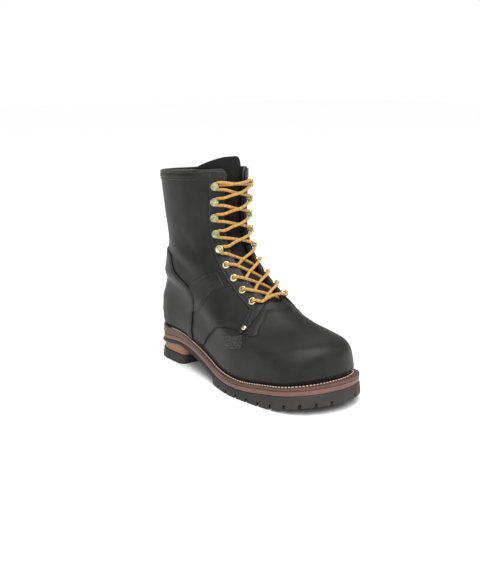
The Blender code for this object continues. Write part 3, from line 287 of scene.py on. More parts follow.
def besideThroat(side, along, away):
    points, lengths = guides[side]
    along, away = np.broadcast_arrays(np.asarray(along, float), np.asarray(away, float))

    def at(distance):
        return pointsAt(distance, lengths, points)

    tangent = at(along + 0.004) - at(along - 0.004)
    v, u = nearest(at(along))
    steps = 8
    for _ in range(steps):
        across = np.cross(tangent, formNormals(v, u))
        across /= np.linalg.norm(across, axis=1)[:, None]
        across *= np.where(across[:, 0] * side < 0, -1, 1)[:, None]
        v, u = nearest(onForm(v, u) + across * (away / steps)[:, None])
    return v, u


def pointTree(points):
    points = np.asarray(points).reshape(-1, 3)
    tree = KDTree(len(points))
    for k, point in enumerate(points):
        tree.insert(point, k)
    tree.balance()
    return tree


def distances(points, tree):
    flat = points.reshape(-1, 3)
    return np.array([tree.find(point)[2] for point in flat]).reshape(points.shape[:-1])


print("last ready")


# Hand tools

def deselectAll():
    if bpy.context.mode != "OBJECT":
        bpy.ops.object.mode_set(mode="OBJECT")
    bpy.ops.object.select_all(action="DESELECT")


def pick(piece):
    deselectAll()
    piece.select_set(True)
    bpy.context.view_layer.objects.active = piece


def editFaces(piece, mask):
    # into edit mode with only these faces selected
    pick(piece)
    mesh = piece.data
    mesh.vertices.foreach_set("select", np.zeros(len(mesh.vertices), bool))
    mesh.edges.foreach_set("select", np.zeros(len(mesh.edges), bool))
    mesh.polygons.foreach_set("select", np.asarray(mask, bool))
    bpy.context.tool_settings.mesh_select_mode = (False, False, True)
    bpy.ops.object.mode_set(mode="EDIT")


def closeSeams(piece, gap=1e-6, outside=True):
    pick(piece)
    bpy.context.tool_settings.mesh_select_mode = (True, False, False)
    bpy.ops.object.mode_set(mode="EDIT")
    bpy.ops.mesh.select_all(action="SELECT")
    bpy.ops.mesh.remove_doubles(threshold=gap)
    if outside:
        bpy.ops.mesh.normals_make_consistent(inside=False)
    bpy.ops.object.mode_set(mode="OBJECT")


def applyModifier(piece, kind, **settings):
    pick(piece)
    modifier = piece.modifiers.new(kind.title(), kind)
    for key, value in settings.items():
        setattr(modifier, key, value)
    bpy.ops.object.modifier_apply(modifier=modifier.name)


def gridPiece(name, points, outward=None, marks=None):
    # a grid primitive whose points are laid over the given rows and columns
    marks = marks or {}
    if outward is not None:
        facing = np.cross(np.gradient(points, axis=1), np.gradient(points, axis=0))
        if (facing * outward).sum() < 0:
            points = points[:, ::-1]
            marks = {key: values[:, ::-1] for key, values in marks.items()}
    rows, columns = points.shape[:2]
    deselectAll()
    bpy.ops.mesh.primitive_grid_add(x_subdivisions=columns - 1, y_subdivisions=rows - 1, size=0.1)
    piece = bpy.context.object
    piece.name = piece.data.name = name
    piece.data.vertices.foreach_set("co", np.ascontiguousarray(points + bootShift).ravel())
    for key, values in marks.items():
        layer = piece.data.attributes.new(key, "FLOAT", "POINT")
        layer.data.foreach_set("value", np.ascontiguousarray(values, dtype=np.float32).ravel())
    piece.data.update()
    return piece


def finishPiece(piece, materials, nodes=(), angle=40):
    pick(piece)
    piece.data.materials.clear()
    for material in materials:
        piece.data.materials.append(material)
    bpy.ops.object.shade_smooth_by_angle(angle=math.radians(angle))
    piece.data.name = piece.name
    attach(piece, "root")
    if nodes:
        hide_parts(*nodes)
    return piece


def joinPieces(name, pieces):
    pick(pieces[0])
    for piece in pieces[1:]:
        piece.select_set(True)
    bpy.ops.object.join()
    pieces[0].name = name
    return pieces[0]


def rimShares(count, length, rim=0.7 * mm):
    # even places from 0 to 1, with more of them where both rims are rounded
    close = np.array([0, 0.25, 0.6, 1.0, 1.8]) * rim / length
    return np.unique(np.concatenate([close, np.linspace(2.6 * rim / length, 1 - 2.6 * rim / length, count),
                                     1 - close]))


def tubePoints(path, radius, sides):
    # rings of points round a path, closed to a point at both ends
    path = np.asarray(path, float)
    radius = np.broadcast_to(radius, len(path)).copy()
    head, tail = path[0] - path[1], path[-1] - path[-2]
    head, tail = head / np.linalg.norm(head), tail / np.linalg.norm(tail)
    caps, scale = np.array([1.0, 0.8, 0.4]), np.array([1e-4, 0.6, 0.92])
    path = np.vstack([path[0] + head * radius[0] * caps[:, None], path,
                      path[-1] + tail * radius[-1] * caps[::-1, None]])
    radius = np.concatenate([radius[0] * scale, radius, radius[-1] * scale[::-1]])
    ahead = np.gradient(path, axis=0)
    ahead /= np.linalg.norm(ahead, axis=1)[:, None]
    side = np.cross(ahead[0], (0.3, 0.2, 0.9))
    rings = []
    for k in range(len(path)):
        side = side - ahead[k] * side.dot(ahead[k])
        side /= np.linalg.norm(side)
        other = np.cross(ahead[k], side)
        angle = np.linspace(0, 2 * math.pi, sides + 1)[:, None]
        rings.append(path[k] + (side * np.cos(angle) + other * np.sin(angle)) * radius[k])
    return np.array(rings), pathLength(path)


def tubePiece(name, path, radius, sides):
    rings, lengths = tubePoints(path, radius, sides)
    piece = gridPiece(name, rings)
    layer = piece.data.uv_layers.active.data
    places = np.empty(len(layer) * 2)
    layer.foreach_get("uv", places)
    places = places.reshape(-1, 2)
    girth = 2 * math.pi * float(np.max(radius))
    rowOf = np.rint(places[:, 1] * (len(rings) - 1)).astype(int)
    layer.foreach_set("uv", np.column_stack([places[:, 0] * girth, lengths[rowOf]]).ravel())
    closeSeams(piece)
    return piece


def spun(name, profile, steps=32):
    # a closed profile of radius and height in mm, spun round the axis Z
    deselectAll()
    bpy.ops.mesh.primitive_circle_add(vertices=len(profile), radius=0.01, fill_type="NOTHING")
    piece = bpy.context.object
    piece.name = name
    corners = [(r * mm, 0.0, h * mm) for r, h in profile]
    piece.data.vertices.foreach_set("co", np.array(corners, float).ravel())
    pick(piece)
    bpy.ops.object.mode_set(mode="EDIT")
    bpy.ops.mesh.select_all(action="SELECT")
    bpy.ops.mesh.spin(steps=steps, angle=2 * math.pi, center=(0, 0, 0), axis=(0, 0, 1))
    bpy.ops.mesh.select_all(action="SELECT")
    bpy.ops.mesh.remove_doubles(threshold=1e-6)
    bpy.ops.mesh.dissolve_degenerate(threshold=1e-6)
    bpy.ops.mesh.normals_make_consistent(inside=False)
    bpy.ops.object.mode_set(mode="OBJECT")
    return piece


def copiesOf(name, model, frames):
    # one mesh with a copy of the model at each frame
    mesh = model.data
    corners = np.empty(len(mesh.vertices) * 3)
    mesh.vertices.foreach_get("co", corners)
    corners = corners.reshape(-1, 3)
    faces = [tuple(face.vertices) for face in mesh.polygons]
    vertices, allFaces = [], []
    for frameMatrix in frames:
        start = len(vertices) * len(corners)
        vertices.append(corners @ frameMatrix[:3, :3].T + frameMatrix[:3, 3])
        allFaces += [tuple(index + start for index in face) for face in faces]
    whole = bpy.data.meshes.new(name)
    whole.from_pydata(np.vstack(vertices).tolist(), [], allFaces)
    piece = bpy.data.objects.new(name, whole)
    bpy.context.scene.collection.objects.link(piece)
    return piece


def placedCopy(name, model, matrix):
    # a copy with its own mesh, whose place is in the mesh
    piece = bpy.data.objects.new(name, model.data.copy())
    bpy.context.scene.collection.objects.link(piece)
    piece.data.transform(Matrix.Translation(Vector(bootShift)) @ matrix)
    return piece


def removePiece(piece):
    mesh = piece.data
    bpy.data.objects.remove(piece, do_unlink=True)
    bpy.data.meshes.remove(mesh)


# Finishes: the shared effects are node groups, placed in each material with its own values

def newGroup(name, inputs, outputs):
    tree = bpy.data.node_groups.new(name, "ShaderNodeTree")
    for label, value in inputs.items():
        socket = tree.interface.new_socket(name=label, in_out="INPUT", socket_type="NodeSocketFloat")
        socket.default_value = value
    for label, kind in outputs.items():
        tree.interface.new_socket(name=label, in_out="OUTPUT", socket_type=kind)
    return tree, tree.nodes.new("NodeGroupInput"), tree.nodes.new("NodeGroupOutput")


def mathNode(tree, operation, first, second=None, third=None, clamp=False):
    node = tree.nodes.new("ShaderNodeMath")
    node.operation = operation
    node.use_clamp = clamp
    for place, value in enumerate((first, second, third)):
        if value is None:
            continue
        if isinstance(value, (int, float)):
            node.inputs[place].default_value = value
        else:
            tree.links.new(value, node.inputs[place])
    return node.outputs[0]


def times(tree, first, second, clamp=False):
    return mathNode(tree, "MULTIPLY", first, second, clamp=clamp)


def plus(tree, first, second, clamp=False):
    return mathNode(tree, "ADD", first, second, clamp=clamp)


def contrast(tree, value, middle, gain, base):
    # spread round its middle, then laid round the base
    return mathNode(tree, "MULTIPLY_ADD", mathNode(tree, "SUBTRACT", value, middle), gain, base, clamp=True)


def objectPlace(tree):
    return tree.nodes.new("ShaderNodeTexCoord").outputs["Object"]


def noiseNode(tree, vector, scale, detail=2.0, rough=0.5):
    node = tree.nodes.new("ShaderNodeTexNoise")
    node.inputs["Detail"].default_value = detail
    node.inputs["Roughness"].default_value = rough
    if isinstance(scale, (int, float)):
        node.inputs["Scale"].default_value = scale
    else:
        tree.links.new(scale, node.inputs["Scale"])
    tree.links.new(vector, node.inputs["Vector"])
    return node.outputs["Fac"]


def mixColours(tree, factor, first, second):
    node = tree.nodes.new("ShaderNodeMix")
    node.data_type = "RGBA"
    colourSockets = [socket for socket in node.inputs if socket.type == "RGBA"]
    factorSocket = [socket for socket in node.inputs if socket.type == "VALUE"][0]
    if isinstance(factor, (int, float)):
        factorSocket.default_value = factor
    else:
        tree.links.new(factor, factorSocket)
    for socket, value in zip(colourSockets, (first, second)):
        if isinstance(value, tuple):
            socket.default_value = (*value, 1)
        else:
            tree.links.new(value, socket)
    return [socket for socket in node.outputs if socket.type == "RGBA"][0]


def grainGroup():
    # Height of a leather's grain, and a soft cloud for its colour and gloss
    tree, entry, leave = newGroup("leatherGrain", {"Pebble": 900.0, "Cloud": 26.0, "Pores": 0.4},
                                  {"Height": "NodeSocketFloat", "Cloud": "NodeSocketFloat"})
    place = objectPlace(tree)
    cells = tree.nodes.new("ShaderNodeTexVoronoi")
    cells.feature = "SMOOTH_F1"
    tree.links.new(place, cells.inputs["Vector"])
    tree.links.new(entry.outputs["Pebble"], cells.inputs["Scale"])
    fine = noiseNode(tree, place, times(tree, entry.outputs["Pebble"], 1.7), 3)
    wide = noiseNode(tree, place, entry.outputs["Cloud"], 3, 0.55)
    waves = noiseNode(tree, place, times(tree, entry.outputs["Cloud"], 5), 2)
    grain = plus(tree, times(tree, cells.outputs["Distance"], entry.outputs["Pores"]),
                     times(tree, fine, 0.6))
    tree.links.new(plus(tree, grain, times(tree, waves, 1.2)), leave.inputs["Height"])
    cloud = contrast(tree, wide, 0.5, 2.6, 0.5)
    tree.links.new(cloud, leave.inputs["Cloud"])
    return tree


def rimHighlightGroup():
    # a painted highlight mask from a piece's own rim mark, broken up by noise
    tree, entry, leave = newGroup("paintedRimHighlight", {"Rim": 0.0, "Broken": 160.0, "Amount": 1.0},
                                  {"Mask": "NodeSocketFloat"})
    place = objectPlace(tree)
    patch = noiseNode(tree, place, entry.outputs["Broken"], 3)
    broken = contrast(tree, patch, 0.42, 4.0, 0.4)
    mask = times(tree, times(tree, entry.outputs["Rim"], broken),
                    entry.outputs["Amount"], clamp=True)
    tree.links.new(mask, leave.inputs["Mask"])
    return tree


def dustGroup():
    # a little dust that lies in a fine, uneven film
    tree, entry, leave = newGroup("dustFilm", {"Amount": 0.1, "Scale": 40.0}, {"Mask": "NodeSocketFloat"})
    place = objectPlace(tree)
    film = noiseNode(tree, place, entry.outputs["Scale"], 5, 0.7)
    specks = noiseNode(tree, place, times(tree, entry.outputs["Scale"], 22), 2)
    both = times(tree, film, times(tree, specks, 1.6))
    tree.links.new(times(tree, both, entry.outputs["Amount"], clamp=True), leave.inputs["Mask"])
    return tree


def braidGroup():
    # crossing strands round a cord, on its own UV map in metres
    tree, entry, leave = newGroup("cordBraid", {"Round": 1000.0, "Along": 700.0},
                                  {"Height": "NodeSocketFloat", "Fleck": "NodeSocketFloat"})
    split = tree.nodes.new("ShaderNodeSeparateXYZ")
    tree.links.new(tree.nodes.new("ShaderNodeUVMap").outputs[0], split.inputs[0])
    a = times(tree, split.outputs["X"], entry.outputs["Round"])
    b = times(tree, split.outputs["Y"], entry.outputs["Along"])
    rising = mathNode(tree, "SINE", plus(tree, a, b))
    falling = mathNode(tree, "SINE", mathNode(tree, "SUBTRACT", a, b))
    tree.links.new(mathNode(tree, "MAXIMUM", rising, falling), leave.inputs["Height"])
    fleck = times(tree, mathNode(tree, "GREATER_THAN", rising, 0.45),
                     mathNode(tree, "GREATER_THAN", mathNode(tree, "SINE", times(tree, b, 0.5)), 0.2))
    tree.links.new(fleck, leave.inputs["Fleck"])
    return tree


def weaveGroup():
    # a plain weave on object coordinates, in threads to the metre
    tree, entry, leave = newGroup("plainWeave", {"Threads": 900.0},
                                  {"Height": "NodeSocketFloat", "Over": "NodeSocketFloat"})
    split = tree.nodes.new("ShaderNodeSeparateXYZ")
    tree.links.new(objectPlace(tree), split.inputs[0])
    turn = times(tree, entry.outputs["Threads"], math.pi)
    a = mathNode(tree, "SINE", times(tree, plus(tree, split.outputs["X"], split.outputs["Y"]), turn))
    b = mathNode(tree, "SINE", times(tree, split.outputs["Z"], turn))
    tree.links.new(mathNode(tree, "ABSOLUTE", times(tree, a, b)), leave.inputs["Height"])
    tree.links.new(mathNode(tree, "GREATER_THAN", times(tree, a, b), 0.0), leave.inputs["Over"])
    return tree


groups = {"grain": grainGroup(), "rimHighlight": rimHighlightGroup(), "dust": dustGroup(), "braid": braidGroup(),
          "weave": weaveGroup()}


coatRoughness = 0.3


def newMaterial(name, roughness, metallic=0.0, coat=0.0, specular=0.5, sheen=0.0):
    material = bpy.data.materials.new(name)
    material.use_nodes = True
    shader = material.node_tree.nodes["Principled BSDF"]
    shader.inputs["Roughness"].default_value = roughness
    shader.inputs["Metallic"].default_value = metallic
    shader.inputs["Coat Weight"].default_value = coat
    shader.inputs["Coat Roughness"].default_value = coatRoughness
    shader.inputs["Specular IOR Level"].default_value = specular
    shader.inputs["Sheen Weight"].default_value = sheen
    return material, material.node_tree, shader


def placeGroup(tree, key, **values):
    node = tree.nodes.new("ShaderNodeGroup")
    node.node_tree = groups[key]
    for label, value in values.items():
        if isinstance(value, (int, float)):
            node.inputs[label].default_value = value
        else:
            tree.links.new(value, node.inputs[label])
    return node


def markNode(tree, name):
    node = tree.nodes.new("ShaderNodeAttribute")
    node.attribute_name = name
    return node.outputs["Fac"]


def bumpNode(tree, shader, height, distance):
    node = tree.nodes.new("ShaderNodeBump")
    node.inputs["Distance"].default_value = distance
    tree.links.new(height, node.inputs["Height"])
    tree.links.new(node.outputs["Normal"], shader.inputs["Normal"])


def rangeNode(tree, value, low, high):
    return mathNode(tree, "MULTIPLY_ADD", value, high - low, low)


# the seam colour here is painted shade: the near-black shadow line laid on the upper beside the panels' rims
dustColour, seamShadeColour = (0.20, 0.19, 0.17), (0.0015, 0.0015, 0.0015)
# the third tone of each finish is a painted highlight, laid along rims by the rim mark
leatherFinish = {
    "bootLeather": {"deep": (0.0075, 0.0078, 0.0072), "pale": (0.0170, 0.0176, 0.0160),
                    "highlightTone": (0.050, 0.050, 0.046),
                    "gloss": (0.40, 0.52), "pebble": 850, "relief": 0.16, "coat": 0.05, "specular": 0.17},
    "eyestayLeather": {"deep": (0.0050, 0.0055, 0.0065), "pale": (0.0105, 0.0115, 0.0130),
                       "highlightTone": (0.045, 0.047, 0.050),
                       "gloss": (0.44, 0.56), "pebble": 950, "relief": 0.16, "coat": 0.05, "specular": 0.26},
    "tongueLeather": {"deep": (0.0035, 0.0035, 0.0038), "pale": (0.0075, 0.0075, 0.0080),
                      "highlightTone": (0.020, 0.020, 0.022),
                      "gloss": (0.58, 0.72), "pebble": 700, "relief": 0.22, "coat": 0.0, "specular": 0.12},
    # the binding's leather is paler than the boot's, a painted highlight along the collar's top edge; its
    # extra gloss is the leather's own
    "edgeLeather": {"deep": (0.0100, 0.0100, 0.0095), "pale": (0.0230, 0.0230, 0.0215),
                    "highlightTone": (0.080, 0.080, 0.075),
                    "gloss": (0.34, 0.46), "pebble": 1200, "relief": 0.10, "coat": 0.10, "specular": 0.30},
}


def leatherMaterial(name):
    look = leatherFinish[name]
    material, tree, shader = newMaterial(name, 0.45, coat=look["coat"], specular=look["specular"])
    grain = placeGroup(tree, "grain", Pebble=float(look["pebble"]))
    # the rim mark paints a paler tone along the panels' rims and the collar top: a painted highlight
    rimHighlight = placeGroup(tree, "rimHighlight", Rim=markNode(tree, "rim"), Amount=0.8)
    dust = placeGroup(tree, "dust", Amount=0.06)
    colour = mixColours(tree, grain.outputs["Cloud"], look["deep"], look["pale"])
    colour = mixColours(tree, rimHighlight.outputs["Mask"], colour, look["highlightTone"])
    colour = mixColours(tree, dust.outputs["Mask"], colour, dustColour)
    # the seam mark paints a near-black shadow line on the upper beside the panels' rims: painted shade
    seam = times(tree, markNode(tree, "seam"), 0.85)
    colour = mixColours(tree, seam, colour, seamShadeColour)
    tree.links.new(colour, shader.inputs["Base Color"])
    gloss = rangeNode(tree, grain.outputs["Cloud"], *look["gloss"])
    gloss = plus(tree, gloss, times(tree, markNode(tree, "seam"), 0.25), clamp=True)
    tree.links.new(gloss, shader.inputs["Roughness"])
    bumpNode(tree, shader, grain.outputs["Height"], look["relief"] * mm)
    return material


solidDust = (0.35, 0.32, 0.28)
solidColumns = ("deep", "pale", "gloss", "noise", "relief", "dust")
solidRows = {
    # colours, gloss, noise to the metre, its relief in mm, and dust
    "liningLeather": ((0.006, 0.006, 0.006), (0.014, 0.0135, 0.013), (0.75, 0.9), 600, 0.2, 0.05),
    "insoleBoard": ((0.025, 0.022, 0.019), (0.045, 0.04, 0.034), (0.75, 0.9), 500, 0.2, 0.1),
    "weltLeather": ((0.058, 0.021, 0.014), (0.115, 0.045, 0.03), (0.42, 0.58), 260, 0.12, 0.05),
    "midsoleLeather": ((0.125, 0.056, 0.04), (0.195, 0.095, 0.068), (0.48, 0.62), 320, 0.12, 0.05),
    "liftLeather": ((0.19, 0.07, 0.026), (0.33, 0.135, 0.052), (0.42, 0.56), 300, 0.1, 0.03),
    "soleRubber": ((0.004, 0.004, 0.0042), (0.009, 0.009, 0.0095), (0.58, 0.74), 420, 0.14, 0.1),
    "creamThread": ((0.55, 0.49, 0.38), (0.78, 0.73, 0.62), (0.7, 0.85), 2500, 0.05, 0.03),
    "blackThread": ((0.006, 0.006, 0.006), (0.02, 0.02, 0.019), (0.4, 0.55), 2500, 0.05, 0.02),
}
solidFinish = {name: dict(zip(solidColumns, row)) for name, row in solidRows.items()}


def solidMaterial(name, layers=0.0):
    look = solidFinish[name]
    material, tree, shader = newMaterial(name, 0.6)
    place = objectPlace(tree)
    fine = noiseNode(tree, place, float(look["noise"]), 4, 0.6)
    wide = noiseNode(tree, place, look["noise"] * 0.08, 3)
    blend = contrast(tree, plus(tree, fine, wide), 1.0, 1.6, 0.5)
    if layers:  # thin stacked sheets, seen as lines on the side
        height = tree.nodes.new("ShaderNodeSeparateXYZ")
        tree.links.new(place, height.inputs[0])
        line = mathNode(tree, "SINE", times(tree, height.outputs["Z"], layers))
        blend = mathNode(tree, "MULTIPLY_ADD", line, 0.22, blend, clamp=True)
    dust = placeGroup(tree, "dust", Amount=look["dust"], Scale=60.0)
    colour = mixColours(tree, blend, look["deep"], look["pale"])
    colour = mixColours(tree, dust.outputs["Mask"], colour, solidDust)
    # on the lining the rim mark paints a paler tone near the collar top: a painted highlight
    rimHighlight = placeGroup(tree, "rimHighlight", Rim=markNode(tree, "rim"), Amount=0.5)
    highlightTone = tuple(min(1.0, 1.7 * value + 0.01) for value in look["pale"])
    colour = mixColours(tree, rimHighlight.outputs["Mask"], colour, highlightTone)
    # the seam mark paints the same shadow line on the lining beside the panels' rims: painted shade
    seam = times(tree, markNode(tree, "seam"), 0.8)
    colour = mixColours(tree, seam, colour, tuple(value * 0.25 for value in look["deep"]))
    tree.links.new(colour, shader.inputs["Base Color"])
    tree.links.new(rangeNode(tree, blend, *look["gloss"]), shader.inputs["Roughness"])
    bumpNode(tree, shader, fine, look["relief"] * mm)
    return material


metalFinish = {
    "brightBrass": {"deep": (0.62, 0.50, 0.22), "pale": (0.93, 0.84, 0.52), "gloss": (0.16, 0.34)},
    "oliveBrass": {"deep": (0.20, 0.19, 0.09), "pale": (0.50, 0.46, 0.22), "gloss": (0.24, 0.42)},
}


def metalMaterial(name):
    look = metalFinish[name]
    material, tree, shader = newMaterial(name, 0.3, metallic=1.0)
    place = objectPlace(tree)
    tarnish = noiseNode(tree, place, 260.0, 4, 0.6)
    blend = contrast(tree, tarnish, 0.45, 3.0, 0.5)
    tree.links.new(mixColours(tree, blend, look["deep"], look["pale"]), shader.inputs["Base Color"])
    tree.links.new(rangeNode(tree, blend, look["gloss"][1], look["gloss"][0]), shader.inputs["Roughness"])
    bumpNode(tree, shader, tarnish, 0.02 * mm)
    return material


laceFinish = {"deep": (0.40, 0.185, 0.022), "pale": (0.74, 0.40, 0.070), "fleck": (0.095, 0.030, 0.008),
              "radius": 1.9 * mm, "strands": 7, "turn": 2.6 * mm, "relief": 0.22 * mm}
tagFinish = {"deep": (0.0060, 0.0065, 0.0055), "fleck": (0.050, 0.058, 0.022), "over": (0.012, 0.013, 0.010),
             "threads": 1100.0, "relief": 0.18 * mm}


def laceMaterial():
    look = laceFinish
    material, tree, shader = newMaterial("goldLace", 0.62, sheen=0.25)
    braid = placeGroup(tree, "braid", Round=look["strands"] / look["radius"],
                       Along=2 * math.pi / look["turn"])
    place = objectPlace(tree)
    patch = noiseNode(tree, place, 240.0, 3)
    base = mixColours(tree, patch, look["deep"], look["pale"])
    fleck = times(tree, braid.outputs["Fleck"], 0.62)
    tree.links.new(mixColours(tree, fleck, base, look["fleck"]), shader.inputs["Base Color"])
    tree.links.new(rangeNode(tree, patch, 0.55, 0.75), shader.inputs["Roughness"])
    bumpNode(tree, shader, braid.outputs["Height"], look["relief"])
    return material


def tagMaterial():
    look = tagFinish
    material, tree, shader = newMaterial("tagWeave", 0.85, sheen=0.1)
    weave = placeGroup(tree, "weave", Threads=look["threads"])
    place = objectPlace(tree)
    fleck = mathNode(tree, "GREATER_THAN", noiseNode(tree, place, 420.0, 2), 0.56)
    colour = mixColours(tree, times(tree, fleck, 0.8), look["deep"], look["fleck"])
    colour = mixColours(tree, times(tree, weave.outputs["Over"], 0.35), colour, look["over"])
    tree.links.new(colour, shader.inputs["Base Color"])
    tree.links.new(rangeNode(tree, weave.outputs["Height"], 0.8, 0.95), shader.inputs["Roughness"])
    bumpNode(tree, shader, weave.outputs["Height"], look["relief"])
    return material


leather = {name: leatherMaterial(name) for name in leatherFinish}
layered = ("weltLeather", "midsoleLeather", "liftLeather")
solid = {name: solidMaterial(name, 2600.0 if name in layered else 0.0) for name in solidFinish}
metal = {name: metalMaterial(name) for name in metalFinish}
goldLace, tagWeave = laceMaterial(), tagMaterial()
print("finishes ready")


# Upper

upper = {"lowerRows": 66, "middleRows": 14, "upperRows": 52, "columns": 128, "topCorner": 0.028,
         "cornerWidth": 0.045,
         # the quarters' step over the vamp: loop value past the edge, and share of the step's height
         "step": ((0.0, 0.30), (0.0012, 1.05), (0.004, 1.30))}
# lower and front edge of the quarters over the vamp: place u, loop value v
quarterEdge = ((0.00, 0.190), (0.25, 0.180), (0.36, 0.050), (0.40, 0.085), (0.44, 0.158), (0.51, 0.221),
               (0.61, 0.258), (0.67, 0.262), (0.73, 0.244), (0.77, 0.253), (0.805, 0.283), (0.862, 0.321),
               (0.905, 0.350), (0.95, 0.361), (1.00, 0.366), (2.00, 0.366))
# creases, given as points v, u, then height and width in mm; below zero is a trough
creases = (
    (((0.66, 0.30), (0.58, 0.50), (0.50, 0.70)), 0.9, 9.0),
    (((0.60, 0.22), (0.53, 0.42), (0.47, 0.56)), -0.8, 6.0),
    (((0.70, 0.55), (0.61, 0.66), (0.56, 0.76)), -0.6, 6.0),
    (((0.60, -0.10), (0.61, 0.00), (0.60, 0.10)), -0.8, 7.0),
    (((0.68, -0.18), (0.69, 0.00), (0.68, 0.18)), 0.5, 8.0),
    (((0.285, 0.70), (0.30, 0.80), (0.31, 0.90)), 0.5, 7.0),
    (((0.25, 1.00), (0.26, 1.50), (0.25, 2.00)), -0.5, 11.0),
    (((0.20, 0.80), (0.225, 0.90), (0.24, 1.00)), -0.5, 9.0),
    (((0.86, 0.30), (0.80, 0.45), (0.77, 0.65)), -0.4, 10.0),
)


def quarterLine(u):
    rows = np.array(quarterEdge)
    return eased(rows[:, 0], rows[:, 1], np.abs(u))


def creaseTable():
    laid = []
    for path, height, width in creases:
        rows = np.array(path)
        t = np.linspace(0, len(rows) - 1, 36)
        v, u = (np.interp(t, np.arange(len(rows)), rows[:, k]) for k in range(2))
        fade = np.sin(np.pi * np.clip(t / (len(rows) - 1), 0.04, 0.96)) ** 0.6
        for side in (-1, 1):
            laid.append((onForm(v, u * side), fade * height * mm * (1 if side < 0 else 0.8), width * mm))
    return laid


laidCreases = creaseTable()


def relief(v, u):
    # how far the creases move the leather out, at these places
    v, u = np.broadcast_arrays(np.asarray(v, float), np.asarray(u, float))
    points = onForm(v, u).reshape(-1, 3)
    total = np.zeros(len(points))
    for path, heights, width in laidCreases:
        gaps = np.linalg.norm(points[:, None] - path[None], axis=2)
        near = gaps.argmin(axis=1)
        total += heights[near] * np.exp(-(gaps[np.arange(len(points)), near] / width) ** 2)
    return total.reshape(v.shape)


def collarLine(u):
    # the collar's loop value: its front corners are rounded off
    over = np.clip((np.abs(u) - 1 + upper["cornerWidth"]) / upper["cornerWidth"], 0, 1)
    return 1 - upper["topCorner"] * (1 - np.sqrt(np.clip(1 - over ** 2, 0, 1)))


saddle = {"lift": 1.75, "thick": 0.9,
          "low": ((0.165, 0.300), (0.216, 0.336), (0.295, 0.465), (0.374, 0.593), (0.407, 0.702),
                  (0.440, 0.812)),
          "high": ((0.369, 0.400), (0.404, 0.500), (0.440, 0.600), (0.476, 0.699), (0.510, 0.825))}
counter = {"lift": 2.9, "thick": 1.3, "top": (0.570, 0.530),
           "edge": ((0.030, 0.305), (0.126, 0.316), (0.195, 0.329), (0.285, 0.398), (0.345, 0.436),
                    (0.376, 0.430),
                    (0.406, 0.400), (0.440, 0.352), (0.530, 0.318), (0.600, 0.300))}
eyestay = {"lift": 2.9, "thick": 1.3, "width": 19.5 * mm, "band": 12 * mm,
           "edge": ((-0.42, 1.75, 2.55), (-0.25, 0.90, 2.40), (0.00, 0.16, 1.80), (0.30, 0.05, 1.18),
                    (0.70, 0.05, 1.00), (2.00, 0.05, 1.00), (12.00, 0.05, 1.00))}


def eyestayGrid(side, longCount, wideCount):
    rows = np.array(eyestay["edge"])
    end = guides[side][1][-1] - 1.5 * mm
    start = rows[0, 0] * eyestay["width"]
    down = start + (end - start) * rimShares(longCount, end - start)
    near = eased(rows[:, 0], rows[:, 1], down / eyestay["width"])
    far = eased(rows[:, 0], rows[:, 2], down / eyestay["width"])
    shares = rimShares(wideCount, eyestay["width"])
    away = (near[:, None] + (far - near)[:, None] * shares) * eyestay["width"]
    v, u = besideThroat(side, np.repeat(down, len(shares)), away.ravel())
    return v.reshape(away.shape), u.reshape(away.shape)


def counterGrid(longCount, wideCount):
    rows = np.array(counter["edge"])
    across = 2 * rimShares(wideCount, 0.20) - 1
    upward = rimShares(longCount, 0.11)
    top = counter["top"][0] + (counter["top"][1] - counter["top"][0]) * np.abs(across) ** 2
    low = rows[0, 0]
    v = low + (top[None] - low) * upward[:, None]
    u = across[None] * eased(rows[:, 0], rows[:, 1], v.ravel()).reshape(v.shape)
    return v, u


def saddleGrid(side, longCount, wideCount):
    t, s = rimShares(wideCount, 0.04), rimShares(longCount, 0.07)
    low = eased(np.linspace(0, 1, len(saddle["low"])), np.array(saddle["low"]), s)
    high = eased(np.linspace(0, 1, len(saddle["high"])), np.array(saddle["high"]), s)
    both = low[None] + (high - low)[None] * t[:, None, None]
    return both[..., 0], both[..., 1] * side


def rimOf(v, u, lift=0.0):
    points = onForm(v, u, lift)
    return np.vstack([points[0], points[-1], points[:, 0], points[:, -1]])


eyestayPlaces = {side: eyestayGrid(side, 84, 16) for side in (-1, 1)}
counterPlaces = counterGrid(54, 110)
saddlePlaces = {side: saddleGrid(side, 34, 24) for side in (-1, 1)}


